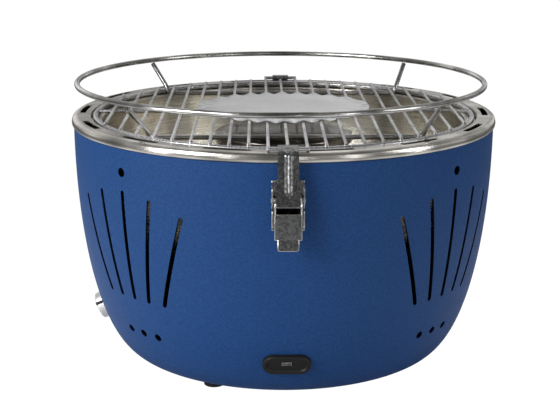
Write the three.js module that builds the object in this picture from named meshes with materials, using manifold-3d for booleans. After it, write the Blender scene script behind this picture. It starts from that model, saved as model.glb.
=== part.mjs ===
// Portable tabletop charcoal grill with a fan under the fire.
//
// Frame: origin on the ground under the middle of the bowl, +Z up, -Y is the front (the side with the
// power port), +X is to the right of someone who stands in front. Millimetres throughout. Azimuths are
// in degrees from the front, positive towards +X.

import * as THREE from 'three';
import { mergeVertices } from 'three/addons/utils/BufferGeometryUtils.js';
import Module from 'manifold-3d';

const wasm = await Module();
wasm.setup();

// ---------------------------------------------------------------- driving dimensions

const FIT_GAP = 0.3;              // clearance between pieces that touch on the real object
const RIM_TOP = 212;              // top of the steel rim above the ground
const RIM_RADIUS = 176.9;
const BOWL_BASE = 12;             // underside of the bowl, which stands on rubber feet
const BOWL_TOP = RIM_TOP - 8;     // where the painted wall meets the steel rim
const BOWL_TOP_RADIUS = 175.2;
const BOWL_BASE_RADIUS = 126.4;
const BOWL_HEIGHT_POWER = 2.165;  // powers of the superellipse that the painted wall follows
const BOWL_WIDTH_POWER = 1.93;
const BOWL_SHEET = 1.5;
const ROUND = 48;                 // facets of the large rings

const GRATE_RING_RADIUS = 157.3;
const GRATE_RING_Z = RIM_TOP - 1.5;
const GRATE_RING_WIRE = 2.1;      // wires are given by their radius
const BAR_PITCH = 14.2;
const BAR_WIRE = 1.25;
const BAR_Z = RIM_TOP + 1.7;
const BARS_EACH_SIDE = 10;
const GUARD_RADIUS = 169.1;
const GUARD_WIRE = 2.25;
const GUARD_Z = RIM_TOP + 26.2;
const GUARD_SHIFT = -2.4;         // the bent wire ring sits a little to the left on its brackets

const FRONT = 0;
const REAR = 180;

// ---------------------------------------------------------------- materials

const finish = (color, roughness, metalness) =>
  new THREE.MeshStandardMaterial({ color, roughness, metalness });

const bluePaint = () => finish(0x234a87, 0.55, 0.1);
const polishedSteel = () => finish(0xc9c7bf, 0.18, 1);
const brushedSteel = () => finish(0xb4b1a8, 0.35, 1);
const wireSteel = () => finish(0xcfcfd2, 0.28, 1);
const blackRubber = () => finish(0x18181a, 0.85, 0);
const blackPlastic = () => finish(0x202124, 0.6, 0);
const greyPlastic = () => finish(0x4a4d52, 0.55, 0);
const silverKnob = () => finish(0xc4c6c8, 0.35, 0.8);
const boardGreen = () => finish(0x1f5a3c, 0.5, 0);
const cellWrap = () => finish(0x6d7278, 0.4, 0.2);
const wireCover = () => finish(0x9a2020, 0.6, 0);

// ---------------------------------------------------------------- solids and joins

/** A closed geometry as a manifold solid, with its faces turned outwards. */
function toSolid(geometry) {
  const bare = geometry.clone();
  bare.deleteAttribute('normal');
  bare.deleteAttribute('uv');
  const merged = mergeVertices(bare, 1e-4);
  const corners = [];
  const index = merged.index.array;
  for (let i = 0; i < index.length; i += 3) {
    const [a, b, c] = [index[i], index[i + 1], index[i + 2]];
    if (a !== b && b !== c && c !== a) corners.push(a, b, c);
  }
  const vertProperties = new Float32Array(merged.attributes.position.array);
  if (signedVolume(vertProperties, corners) < 0) corners.reverse();
  const mesh = new wasm.Mesh({ numProp: 3, vertProperties, triVerts: new Uint32Array(corners) });
  return new wasm.Manifold(mesh);
}

/** Six times the volume that the triangles enclose, negative where they face inwards. */
function signedVolume(positions, corners) {
  const [a, b, c] = [new THREE.Vector3(), new THREE.Vector3(), new THREE.Vector3()];
  let volume = 0;
  for (let i = 0; i < corners.length; i += 3) {
    a.fromArray(positions, corners[i] * 3);
    b.fromArray(positions, corners[i + 1] * 3);
    c.fromArray(positions, corners[i + 2] * 3);
    volume += a.dot(b.cross(c));
  }
  return volume;
}

/** A manifold solid back as a geometry that three.js can show. */
function toGeometry(solid) {
  const { vertProperties, triVerts } = solid.getMesh();
  const geometry = new THREE.BufferGeometry();
  geometry.setAttribute('position', new THREE.BufferAttribute(vertProperties, 3));
  geometry.setIndex(new THREE.BufferAttribute(triVerts, 1));
  geometry.computeVertexNormals();
  return geometry;
}

const join = (first, ...others) => others.reduce((sum, solid) => sum.add(solid), first);
const cut = (body, ...tools) => tools.reduce((rest, solid) => rest.subtract(solid), body);

// ---------------------------------------------------------------- shapes

const point = (x, y) => new THREE.Vector2(x, y);
const place = (x, y, z) => new THREE.Vector3(x, y, z);
const radians = THREE.MathUtils.degToRad;

/** The place at a radius, azimuth and height. */
const polar = (radius, azimuth, z) =>
  place(radius * Math.sin(radians(azimuth)), -radius * Math.cos(radians(azimuth)), z);

/** A profile of [radius, height] pairs turned about the Z axis. */
function revolve(profile, facets = ROUND) {
  const geometry = new THREE.LatheGeometry(profile.map(([r, z]) => point(r, z)), facets);
  return toSolid(geometry.rotateX(Math.PI / 2));
}

/** A closed ring of sheet or bar: the profile's end is joined to its start. */
const revolveRing = (profile, facets = ROUND) => revolve([...profile, profile[0]], facets);

/** A disc or drum standing on the height low. */
function drum(radius, low, high, facets = 24) {
  return revolve([[0, low], [radius, low], [radius, high], [0, high]], facets);
}

/** A shape in the XY plane given its depth along +Z. */
function prism(shape, low, high, curveSegments = 4) {
  const settings = { depth: high - low, bevelEnabled: false, curveSegments };
  const geometry = new THREE.ExtrudeGeometry(shape, settings);
  return toSolid(geometry.translate(0, 0, low));
}

/** A [y, z] outline given its width along X. */
function sidePrism(outline, left, right, curveSegments = 4) {
  const shape = Array.isArray(outline) ? new THREE.Shape(outline.map(([y, z]) => point(y, z))) : outline;
  const settings = { depth: right - left, bevelEnabled: false, curveSegments };
  const geometry = new THREE.ExtrudeGeometry(shape, settings);
  const turn = new THREE.Matrix4().makeBasis(place(0, 1, 0), place(0, 0, 1), place(1, 0, 0));
  return toSolid(geometry.translate(0, 0, left).applyMatrix4(turn));
}

function box(low, high) {
  const size = high.clone().sub(low);
  const middle = high.clone().add(low).multiplyScalar(0.5);
  return toSolid(new THREE.BoxGeometry(size.x, size.y, size.z).translate(middle.x, middle.y, middle.z));
}

/** A straight round rod between two places. */
function rod(from, to, radius, sides = 8) {
  const along = to.clone().sub(from);
  const geometry = new THREE.CylinderGeometry(radius, radius, along.length(), sides);
  const turn = new THREE.Quaternion().setFromUnitVectors(place(0, 1, 0), along.clone().normalize());
  const middle = from.clone().add(to).multiplyScalar(0.5);
  return toSolid(geometry.applyQuaternion(turn).translate(middle.x, middle.y, middle.z));
}

/** A round wire through a list of places. */
function wire(places, radius, steps, sides = 8) {
  const section = new THREE.Shape();
  section.absarc(0, 0, radius, 0, Math.PI * 2);
  const extrudePath = new THREE.CatmullRomCurve3(places, false, 'centripetal');
  const curveSegments = sides / 2;
  const settings = { extrudePath, steps, curveSegments, bevelEnabled: false };
  return toSolid(new THREE.ExtrudeGeometry(section, settings));
}

function wireRing(radius, wireRadius, z, facets = ROUND, sides = 6) {
  return toSolid(new THREE.TorusGeometry(radius, wireRadius, sides, facets).translate(0, 0, z));
}

/** A slot with round ends, lying along X about the origin. */
function slotShape(length, width) {
  const half = (length - width) / 2;
  const shape = new THREE.Shape();
  shape.absarc(half, 0, width / 2, -Math.PI / 2, Math.PI / 2);
  shape.absarc(-half, 0, width / 2, Math.PI / 2, Math.PI * 1.5);
  return shape;
}

/** A slot with round ends, bent about the Z axis. */
function arcSlotShape(radius, azimuth, length, width) {
  const half = (length - width) / 2 / radius;
  const middle = radians(azimuth - 90);
  const [start, end] = [middle - half, middle + half];
  const shape = new THREE.Shape();
  shape.absarc(0, 0, radius + width / 2, start, end);
  shape.absarc(radius * Math.cos(end), radius * Math.sin(end), width / 2, end, end + Math.PI);
  shape.absarc(0, 0, radius - width / 2, end, start, true);
  const [x, y] = [radius * Math.cos(start), radius * Math.sin(start)];
  shape.absarc(x, y, width / 2, start + Math.PI, start + 2 * Math.PI);
  return shape;
}

// ---------------------------------------------------------------- the painted wall's curve

/** The point and outward normal of the painted wall, share 0 at its top and 1 where the base starts. */
function wallPoint(share) {
  const u = share * Math.PI / 2;
  const drop = (BOWL_TOP - BOWL_BASE) * Math.sin(u) ** (2 / BOWL_HEIGHT_POWER);
  const swell = (BOWL_TOP_RADIUS - BOWL_BASE_RADIUS) * Math.cos(u) ** (2 / BOWL_WIDTH_POWER);
  return [BOWL_BASE_RADIUS + swell, BOWL_TOP - drop];
}

/** The painted wall's outer radius at a height. */
function wallRadius(z) {
  const u = Math.asin(((BOWL_TOP - z) / (BOWL_TOP - BOWL_BASE)) ** (BOWL_HEIGHT_POWER / 2));
  return wallPoint(u / (Math.PI / 2))[0];
}

/** How far the wall's outward normal is turned down from level, in radians. */
const wallTilt = (z) => Math.atan2(wallRadius(z + 1) - wallRadius(z - 1), 2);

/** The wall's profile moved outwards by a distance, from the top down to the edge of the base. */
function wallProfile(distance, steps = 6) {
  const shares = Array.from({ length: steps }, (_, i) => (i + 0.35) / steps);
  return [0.001, ...shares, 0.999].map((share) => {
    const [r, z] = wallPoint(share);
    const [r0, z0] = wallPoint(share - 0.001);
    const [r1, z1] = wallPoint(Math.min(share + 0.001, 1));
    const length = Math.hypot(r1 - r0, z1 - z0);
    const lowest = BOWL_BASE - distance;
    return [r + distance * (z0 - z1) / length, Math.max(z - distance * (r0 - r1) / length, lowest)];
  });
}

/** A turned frame on the painted wall: local Z points out of the wall, local X level to the right. */
function wallFrame(azimuth, z) {
  const tilt = wallTilt(z);
  const level = polar(1, azimuth, 0);
  const out = level.clone().multiplyScalar(Math.cos(tilt)).add(place(0, 0, -Math.sin(tilt)));
  const right = place(Math.cos(radians(azimuth)), Math.sin(radians(azimuth)), 0);
  const up = out.clone().cross(right);
  return new THREE.Matrix4().makeBasis(right, up, out).setPosition(polar(wallRadius(z), azimuth, z));
}

/** A solid made about the origin, moved into a frame. */
const moved = (solid, frame) => toSolid(toGeometry(solid).applyMatrix4(frame));

// ---------------------------------------------------------------- the assembly

const grill = new THREE.Group();

function addTo(group, name, solid, material) {
  const mesh = new THREE.Mesh(toGeometry(solid), material);
  mesh.name = name;
  group.add(mesh);
  return mesh;
}

const add = (name, solid, material) => addTo(grill, name, solid, material);

// ---------------------------------------------------------------- outer bowl: painted deep-drawn steel

const VENT_GROUPS = [-45.5, 48, 132, 225];   // azimuths of the four groups of air vents
const VENT_TOP_SPREAD = 9.4;                 // degrees between neighbouring slots at their tops
const VENT_BASE_SPREAD = 5.5;
const VENT_WIDTH = 3.8;
const VENT_BASE_Z = RIM_TOP - 129;
const VENT_MIDDLE_TOP_Z = RIM_TOP - 40;
const VENT_TOP_FALL = 3.2;                   // how much lower each slot starts, times its place squared
const VENT_HOLE_Z = RIM_TOP - 26;
const VENT_HOLE_RADIUS = 3.6;
const DRAIN_HOLES_Z = RIM_TOP - 159;
const DRAIN_HOLE_SPREAD = 5.9;
const DRAIN_HOLE_RADIUS = 3.2;
const CUT_DEPTH = 12;

const KNOB_AZIMUTH = -90;
const KNOB_Z = RIM_TOP - 170;
const PORT_Z = RIM_TOP - 168;
const PORT_HOLE = { length: 32, width: 14 };
const SHAFT_RADIUS = 3;
const FOOT_AZIMUTHS = [-34, 86, 206];
const FOOT_CIRCLE = 103.3;
const SCREW_RADIUS = 2;
const FAN_SCREW_AZIMUTHS = [60, 180, 300];
const FAN_SCREW_CIRCLE = 53;
const LATCH_RIVET_HEIGHTS = [RIM_TOP - 26, RIM_TOP - 52];
const RIVET_RADIUS = 2;
const NECK_HEIGHT = 5;                       // how far the wall's neck reaches up inside the rim
const NECK_RADIUS = BOWL_TOP_RADIUS - 1.6;

/** A cutter for one air slot, from its upper to its lower end. */
function ventCutter(azimuth, rank) {
  const topAzimuth = azimuth + rank * VENT_TOP_SPREAD;
  const baseAzimuth = azimuth + rank * VENT_BASE_SPREAD;
  const topZ = VENT_MIDDLE_TOP_Z - VENT_TOP_FALL * rank ** 2;
  const top = polar(wallRadius(topZ), topAzimuth, topZ);
  const base = polar(wallRadius(VENT_BASE_Z), baseAzimuth, VENT_BASE_Z);
  const along = top.clone().sub(base);
  const right = along.clone().normalize();
  const level = polar(1, (topAzimuth + baseAzimuth) / 2, 0);
  const out = level.clone().addScaledVector(right, -level.dot(right)).normalize();
  const middle = top.clone().add(base).multiplyScalar(0.5);
  const frame = new THREE.Matrix4().makeBasis(right, out.clone().cross(right), out).setPosition(middle);
  return moved(prism(slotShape(along.length(), VENT_WIDTH), -CUT_DEPTH, CUT_DEPTH, 2), frame);
}

const holeThroughWall = (azimuth, z, radius, facets = 8) =>
  moved(drum(radius, -CUT_DEPTH, CUT_DEPTH, facets), wallFrame(azimuth, z));

const VENT_RANKS = [-2, -1, 0, 1, 2];
const DRAIN_RANKS = [-1, 0, 1];
const ventCutters = VENT_GROUPS.flatMap((azimuth) => [
  ...VENT_RANKS.map((rank) => ventCutter(azimuth, rank)),
  holeThroughWall(azimuth, VENT_HOLE_Z, VENT_HOLE_RADIUS),
  ...DRAIN_RANKS.map((rank) =>
    holeThroughWall(azimuth + rank * DRAIN_HOLE_SPREAD, DRAIN_HOLES_Z, DRAIN_HOLE_RADIUS)),
]);

const screwHoles = [
  ...FOOT_AZIMUTHS.map((azimuth) => polar(FOOT_CIRCLE, azimuth, 0)),
  ...FAN_SCREW_AZIMUTHS.map((azimuth) => polar(FAN_SCREW_CIRCLE, azimuth, 0)),
].map((spot) => drum(SCREW_RADIUS + FIT_GAP, 0, BOWL_BASE + 10, 10).translate([spot.x, spot.y, 0]));

const rivetHoles = LATCH_RIVET_HEIGHTS.map((z) =>
  rod(place(0, -RIM_RADIUS - 5, z), place(0, RIM_RADIUS + 5, z), RIVET_RADIUS + FIT_GAP));

const outerWall = wallProfile(0);
const innerWall = wallProfile(-BOWL_SHEET);
const bowlBlank = revolve([
  [0, BOWL_BASE],
  ...outerWall.toReversed(),
  [BOWL_TOP_RADIUS, BOWL_TOP],
  [NECK_RADIUS, BOWL_TOP],
  [NECK_RADIUS, BOWL_TOP + NECK_HEIGHT],
  [NECK_RADIUS - BOWL_SHEET, BOWL_TOP + NECK_HEIGHT],
  [NECK_RADIUS - BOWL_SHEET, BOWL_TOP - 1],
  ...innerWall.slice(1),
  [0, BOWL_BASE + BOWL_SHEET],
]);

add('outer_bowl', cut(
  bowlBlank,
  ...ventCutters,
  ...screwHoles,
  ...rivetHoles,
  holeThroughWall(KNOB_AZIMUTH, KNOB_Z, SHAFT_RADIUS + 1),
  moved(prism(slotShape(PORT_HOLE.length, PORT_HOLE.width), -CUT_DEPTH, CUT_DEPTH), wallFrame(FRONT, PORT_Z)),
), bluePaint());

// ---------------------------------------------------------------- rim ring: rolled steel with air slots

const RIM_SHEET = 1;
const RIM_TUCK = 1.3;                        // how far the rolled edge turns in at its foot
const RIM_INNER_RADIUS = 162;
const LEDGE_Z = RIM_TOP - 5.6;               // the step that the lift-out bowl hangs on
const LEDGE_INNER_RADIUS = 154;
const RIM_SLOTS = 14;
const RIM_SLOT = { radius: 168, length: 36, width: 5, turn: -2.4 };

const rimBlank = revolveRing([
  [RIM_RADIUS - RIM_TUCK, BOWL_TOP + FIT_GAP],
  [RIM_RADIUS - 0.2, RIM_TOP - 6.4],
  [RIM_RADIUS, RIM_TOP - 5],
  [RIM_RADIUS, RIM_TOP - 3.6],
  [RIM_RADIUS - 0.7, RIM_TOP - 1.7],
  [RIM_RADIUS - 2.2, RIM_TOP - 0.5],
  [RIM_RADIUS - 4.4, RIM_TOP],
  [RIM_INNER_RADIUS, RIM_TOP],
  [RIM_INNER_RADIUS - RIM_SHEET, RIM_TOP - RIM_SHEET],
  [RIM_INNER_RADIUS - RIM_SHEET, LEDGE_Z],
  [LEDGE_INNER_RADIUS, LEDGE_Z],
  [LEDGE_INNER_RADIUS, LEDGE_Z - RIM_SHEET],
  [RIM_INNER_RADIUS, LEDGE_Z - RIM_SHEET],
  [RIM_INNER_RADIUS, RIM_TOP - 1.5 * RIM_SHEET],
  [RIM_RADIUS - 3, RIM_TOP - 1.5 * RIM_SHEET],
  [RIM_RADIUS - 1.6, RIM_TOP - 2.4],
  [RIM_RADIUS - RIM_SHEET, RIM_TOP - 4],
  [RIM_RADIUS - RIM_SHEET, RIM_TOP - 5],
  [RIM_RADIUS - RIM_TUCK - RIM_SHEET, BOWL_TOP + FIT_GAP],
]);
const rimSlots = Array.from({ length: RIM_SLOTS }, (_, i) => {
  const azimuth = (i + 0.5) * 360 / RIM_SLOTS + RIM_SLOT.turn;
  const shape = arcSlotShape(RIM_SLOT.radius, azimuth, RIM_SLOT.length, RIM_SLOT.width);
  return prism(shape, RIM_TOP - 3, RIM_TOP + 3, 2);
});
add('rim_ring', cut(rimBlank, ...rimSlots), polishedSteel());

// ---------------------------------------------------------------- inner bowl: lift-out spun steel

const INNER_LIP_Z = LEDGE_Z + FIT_GAP;
const INNER_LIP_RADIUS = RIM_INNER_RADIUS - RIM_SHEET - 2 * FIT_GAP;
const INNER_SHEET = 1;
const INNER_MOUTH_RADIUS = 152.5;
const INNER_FLOOR_Z = RIM_TOP - 140;
const INNER_FLOOR_RADIUS = 64;
const FIRE_HOLE_RADIUS = 30;

/** The inner bowl's sheet line between its mouth and its floor, moved outwards by a distance. */
function innerCurve(distance) {
  const steps = 5;
  return Array.from({ length: steps + 1 }, (_, i) => {
    const u = i / steps * Math.PI / 2;
    const reach = INNER_MOUTH_RADIUS - INNER_FLOOR_RADIUS;
    const drop = INNER_LIP_Z - INNER_FLOOR_Z;
    return [
      INNER_FLOOR_RADIUS + reach * Math.cos(u) ** 0.9 + distance * Math.cos(u),
      INNER_LIP_Z - drop * Math.sin(u) - distance * Math.sin(u),
    ];
  });
}

const innerBowl = revolveRing([
  [INNER_LIP_RADIUS, INNER_LIP_Z],
  [INNER_LIP_RADIUS, INNER_LIP_Z + INNER_SHEET],
  [INNER_MOUTH_RADIUS - INNER_SHEET, INNER_LIP_Z + INNER_SHEET],
  ...innerCurve(0).slice(1).map(([r, z]) => [r - INNER_SHEET * 0.6, z + INNER_SHEET]),
  [FIRE_HOLE_RADIUS, INNER_FLOOR_Z + INNER_SHEET],
  [FIRE_HOLE_RADIUS, INNER_FLOOR_Z],
  ...innerCurve(0).toReversed(),
], 40);
add('inner_bowl', innerBowl, brushedSteel());

// ---------------------------------------------------------------- ignition pan, charcoal basket and lid

const PAN = { radius: 40, floorZ: INNER_FLOOR_Z + INNER_SHEET + FIT_GAP, height: 9, sheet: 1 };
add('ignition_pan', revolve([
  [0, PAN.floorZ],
  [PAN.radius - 4, PAN.floorZ],
  [PAN.radius, PAN.floorZ + PAN.height],
  [PAN.radius - PAN.sheet, PAN.floorZ + PAN.height],
  [PAN.radius - 4.5, PAN.floorZ + PAN.sheet],
  [0, PAN.floorZ + PAN.sheet],
], 32), brushedSteel());

const LID_TOP_Z = RIM_TOP - 16;
const BASKET = {
  radius: 56, sheet: 1,
  baseZ: INNER_FLOOR_Z + INNER_SHEET + FIT_GAP, floorZ: INNER_FLOOR_Z + 14, topZ: LID_TOP_Z - 2,
  slots: 12, slotLength: 62, slotWidth: 4,
};
const basketBlank = revolve([
  [0, BASKET.floorZ],
  [BASKET.radius - BASKET.sheet, BASKET.floorZ],
  [BASKET.radius - BASKET.sheet, BASKET.baseZ],
  [BASKET.radius, BASKET.baseZ],
  [BASKET.radius, BASKET.topZ],
  [BASKET.radius - BASKET.sheet, BASKET.topZ],
  [BASKET.radius - BASKET.sheet, BASKET.floorZ + BASKET.sheet],
  [0, BASKET.floorZ + BASKET.sheet],
], 36);
const basketSlots = Array.from({ length: BASKET.slots }, (_, i) => {
  const azimuth = i * 360 / BASKET.slots;
  const middle = polar(BASKET.radius, azimuth, (BASKET.floorZ + BASKET.topZ) / 2);
  const frame = new THREE.Matrix4();
  frame.makeBasis(place(0, 0, 1), polar(1, azimuth - 90, 0), polar(1, azimuth, 0));
  return moved(prism(slotShape(BASKET.slotLength, BASKET.slotWidth), -4, 4, 2), frame.setPosition(middle));
});
add('charcoal_basket', cut(basketBlank, ...basketSlots), brushedSteel());

const LID = { radius: 58, skirt: 9, sheet: 1 };
add('charcoal_lid', revolve([
  [0, LID_TOP_Z - LID.sheet],
  [LID.radius - LID.sheet, LID_TOP_Z - LID.sheet],
  [LID.radius - LID.sheet, LID_TOP_Z - LID.skirt],
  [LID.radius, LID_TOP_Z - LID.skirt],
  [LID.radius, LID_TOP_Z - 1.5],
  [LID.radius - 1.5, LID_TOP_Z],
  [0, LID_TOP_Z],
], 36), polishedSteel());

// ---------------------------------------------------------------- grate: welded wire grid

const BAR_END_RADIUS = 158.6;                // the bars end just past the ring they are welded to
const BAR_SIDES = 6;
const LATCH_ROD = { y: 171.5, z: RIM_TOP + 1.9, wire: 1.5, bars: [-1, 1] };
const LATCH_ROD_HALF = BAR_PITCH + BAR_WIRE;
const CROSS_WIRE = 1.4;
const CROSS_WIRE_Z = BAR_Z - BAR_WIRE - CROSS_WIRE + 0.2;

const bars = [];
for (let rank = -BARS_EACH_SIDE; rank <= BARS_EACH_SIDE; rank += 1) {
  const x = rank * BAR_PITCH;
  const carriesRod = LATCH_ROD.bars.includes(rank);
  const reach = carriesRod ? LATCH_ROD.y : Math.sqrt(BAR_END_RADIUS ** 2 - x ** 2);
  bars.push(rod(place(x, -reach, BAR_Z), place(x, reach, BAR_Z), BAR_WIRE, BAR_SIDES));
}
const latchRods = [-LATCH_ROD.y, LATCH_ROD.y].map((y) =>
  rod(place(-LATCH_ROD_HALF, y, LATCH_ROD.z), place(LATCH_ROD_HALF, y, LATCH_ROD.z), LATCH_ROD.wire));
const middleWire = rod(
  place(-GRATE_RING_RADIUS, 0, CROSS_WIRE_Z), place(GRATE_RING_RADIUS, 0, CROSS_WIRE_Z),
  CROSS_WIRE, BAR_SIDES);
const grateRing = wireRing(GRATE_RING_RADIUS, GRATE_RING_WIRE, GRATE_RING_Z);
add('grate', join(grateRing, middleWire, ...bars, ...latchRods), wireSteel());

const DRIP_PLATE = { radius: 72, low: BAR_Z + BAR_WIRE + FIT_GAP, sheet: 1 };
const dripPlate = drum(DRIP_PLATE.radius, DRIP_PLATE.low, DRIP_PLATE.low + DRIP_PLATE.sheet, 48);
add('drip_plate', dripPlate, brushedSteel());

// ---------------------------------------------------------------- guard ring and its two brackets

add('guard_ring', wireRing(GUARD_RADIUS, GUARD_WIRE, GUARD_Z).translate([GUARD_SHIFT, 0, 0]), wireSteel());

const BRACKET_WIRE = 2;
const BRACKET_Y = 106;
const BRACKET_Z = BAR_Z - BAR_WIRE - 2.5 * FIT_GAP - BRACKET_WIRE;
const BRACKET_KNEE_X = 104.4;
const BRACKET_TIP_AZIMUTH = 43.8;

/** A wire that runs under the bars and turns up at both ends to carry the guard ring. */
function guardBracket(side) {
  const arm = (hand) => {
    const tip = polar(GUARD_RADIUS, hand * BRACKET_TIP_AZIMUTH, GUARD_Z - GUARD_WIRE - BRACKET_WIRE);
    return [
      place(hand * (BRACKET_KNEE_X - 8), side * BRACKET_Y, BRACKET_Z),
      place(hand * (BRACKET_KNEE_X - 2.2), side * BRACKET_Y, BRACKET_Z),
      place(hand * BRACKET_KNEE_X, side * (BRACKET_Y + 0.6), BRACKET_Z + 2.4),
      place(hand * (BRACKET_KNEE_X + 2.5), side * (BRACKET_Y + 2.5), BRACKET_Z + 8),
      place(tip.x + GUARD_SHIFT, side * Math.abs(tip.y), tip.z),
    ];
  };
  return wire([...arm(-1).toReversed(), ...arm(1)], BRACKET_WIRE, 26, 6);
}

add('guard_bracket_front', guardBracket(-1), wireSteel());
add('guard_bracket_rear', guardBracket(1), wireSteel());

// ---------------------------------------------------------------- latches: one at the front, one at the back

const LATCH = {
  plateIn: 175.9, plateOut: 177.1,           // distances from the grill's axis
  top: RIM_TOP - 19.8, bottom: RIM_TOP - 57, halfWidth: 11.9, earSheet: 1.2,
  pivot: { out: 181.6, z: RIM_TOP - 33 },    // the lever turns here, in the base's ears
  crank: 6.5, crankAngle: 60,                // from the lever's pivot to the strap's
  pinRadius: 1.5, strapPinRadius: 1.1,
  leverHalfWidth: 9.9, leverSheet: 1, leverFace: 187.4, leverTop: RIM_TOP - 42, leverEnd: RIM_TOP - 61.3,
  tongueHalfWidth: 7.75, tongueEnd: RIM_TOP - 68.8, tongueLean: 2.2,
  strapHalfWidth: 8.4, strapTopHalfWidth: 7.5, strapSheet: 1, strapBarrel: 2.1,
};
LATCH.strapPivot = {
  out: LATCH.pivot.out + LATCH.crank * Math.sin(radians(LATCH.crankAngle)),
  z: LATCH.pivot.z - LATCH.crank * Math.cos(radians(LATCH.crankAngle)),
};
const PIN_FACETS = 8;

/** A pin or a bore across the latch, at a distance out and a height. */
const acrossLatch = (spot, radius, halfLength) =>
  rod(place(-halfLength, -spot.out, spot.z), place(halfLength, -spot.out, spot.z), radius, PIN_FACETS);

/** An outline given as [out, z] pairs, with its width along X on the front side. */
const latchPrism = (outline, left, right) =>
  sidePrism(outline.map(([out, z]) => [-out, z]), left, right);

/** The base: a plate riveted to the bowl, with an upper and a lower ear folded out on each side. */
function latchBase() {
  const plate = latchPrism([
    [LATCH.plateIn, LATCH.bottom], [LATCH.plateOut, LATCH.bottom],
    [LATCH.plateOut, LATCH.top], [LATCH.plateIn, LATCH.top],
  ], -LATCH.halfWidth, LATCH.halfWidth);
  const ears = [-1, 1].flatMap((hand) => {
    const inner = hand * (LATCH.halfWidth - LATCH.earSheet);
    const outer = hand * LATCH.halfWidth;
    const sides = [Math.min(inner, outer), Math.max(inner, outer)];
    const root = LATCH.plateOut - 0.5;
    const upper = latchPrism([
      [root, RIM_TOP - 38], [LATCH.pivot.out + 2.6, RIM_TOP - 36.5],
      [LATCH.pivot.out + 2.6, RIM_TOP - 24.5], [LATCH.pivot.out, RIM_TOP - 21.6], [root, RIM_TOP - 20.8],
    ], ...sides);
    const lower = latchPrism([
      [root, RIM_TOP - 56.2], [LATCH.pivot.out + 1, RIM_TOP - 54.4],
      [LATCH.pivot.out + 1, RIM_TOP - 41], [root, RIM_TOP - 40],
    ], ...sides);
    return [upper, lower];
  });
  const rivetBores = LATCH_RIVET_HEIGHTS.map((z) =>
    rod(place(0, -RIM_RADIUS + 10, z), place(0, -RIM_RADIUS - 10, z), RIVET_RADIUS + FIT_GAP));
  return cut(join(plate, ...ears), acrossLatch(LATCH.pivot, LATCH.pinRadius + FIT_GAP, 20), ...rivetBores);
}

/** The lever: a face plate between two side flanges, with a finger tongue at its lower end. */
function latchLever() {
  const { pivot, strapPivot } = LATCH;
  const faceOut = LATCH.leverFace + LATCH.leverSheet;
  const flangeOutline = [
    [pivot.out - 3.2, pivot.z - 1], [pivot.out - 2.2, pivot.z + 2.2], [pivot.out + 0.6, pivot.z + 3.1],
    [strapPivot.out + 1, strapPivot.z + 2.6], [strapPivot.out + 2.2, strapPivot.z],
    [faceOut, LATCH.leverTop], [faceOut, LATCH.leverEnd], [faceOut - 3, LATCH.leverEnd],
    [pivot.out + 1, LATCH.leverTop - 6], [pivot.out - 2.4, pivot.z - 4],
  ];
  const inner = LATCH.leverHalfWidth - LATCH.leverSheet;
  const flanges = [
    latchPrism(flangeOutline, -LATCH.leverHalfWidth, -inner),
    latchPrism(flangeOutline, inner, LATCH.leverHalfWidth),
  ];
  const face = latchPrism([
    [LATCH.leverFace, LATCH.leverEnd], [faceOut, LATCH.leverEnd],
    [faceOut, LATCH.leverTop], [LATCH.leverFace, LATCH.leverTop],
  ], -LATCH.leverHalfWidth, LATCH.leverHalfWidth);
  const tongue = latchPrism([
    [LATCH.leverFace, LATCH.leverEnd + 1], [LATCH.leverFace, LATCH.leverEnd],
    [LATCH.leverFace + LATCH.tongueLean, LATCH.tongueEnd], [faceOut + LATCH.tongueLean, LATCH.tongueEnd],
    [faceOut, LATCH.leverEnd], [faceOut, LATCH.leverEnd + 1],
  ], -LATCH.tongueHalfWidth, LATCH.tongueHalfWidth);
  return cut(
    join(face, ...flanges, tongue),
    acrossLatch(pivot, LATCH.pinRadius + FIT_GAP, 20),
    acrossLatch(strapPivot, LATCH.strapPinRadius + FIT_GAP, 20),
  );
}

/** The strap: a sheet that turns on the lever, with a hook over the rod at the edge of the grate. */
function latchStrap() {
  const { strapPivot } = LATCH;
  const rodTop = LATCH_ROD.z + LATCH_ROD.wire;
  const roofZ = rodTop + 0.4;
  const lipIn = LATCH_ROD.y - LATCH_ROD.wire - 3.5;
  const lipZ = rodTop - 1.5;
  const shoulder = { out: 184.6, z: RIM_TOP + 1.2 };
  const sheet = LATCH.strapSheet;
  const strapOut = strapPivot.out + LATCH.strapBarrel;
  const outline = [
    [strapOut - 0.2, strapPivot.z], [shoulder.out, shoulder.z - 1.2], [shoulder.out - 0.7, shoulder.z],
    [LATCH_ROD.y + 4, roofZ + sheet], [lipIn, roofZ + sheet], [lipIn, lipZ], [lipIn + sheet, lipZ],
    [lipIn + sheet, roofZ], [LATCH_ROD.y + 3.8, roofZ], [shoulder.out - sheet, shoulder.z - 1.6],
    [strapOut - sheet - 0.2, strapPivot.z],
  ];
  const blank = join(
    latchPrism(outline, -LATCH.strapHalfWidth, LATCH.strapHalfWidth),
    acrossLatch(strapPivot, LATCH.strapBarrel, LATCH.strapHalfWidth),
  );
  const rib = latchPrism([
    [strapOut - 1.2, RIM_TOP - 30.5], [strapOut, RIM_TOP - 29], [shoulder.out + 0.6, RIM_TOP - 2],
    [shoulder.out - 0.6, RIM_TOP - 1],
  ], -2.4, 2.4);
  const trims = [-1, 1].map((hand) => {
    const [near, far] = [hand * LATCH.strapTopHalfWidth, hand * 20];
    return box(
      place(Math.min(near, far), -strapOut - 5, LATCH.top), place(Math.max(near, far), -150, RIM_TOP + 20));
  });
  return cut(join(blank, rib), ...trims, acrossLatch(strapPivot, LATCH.strapPinRadius + FIT_GAP, 20));
}

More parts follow.
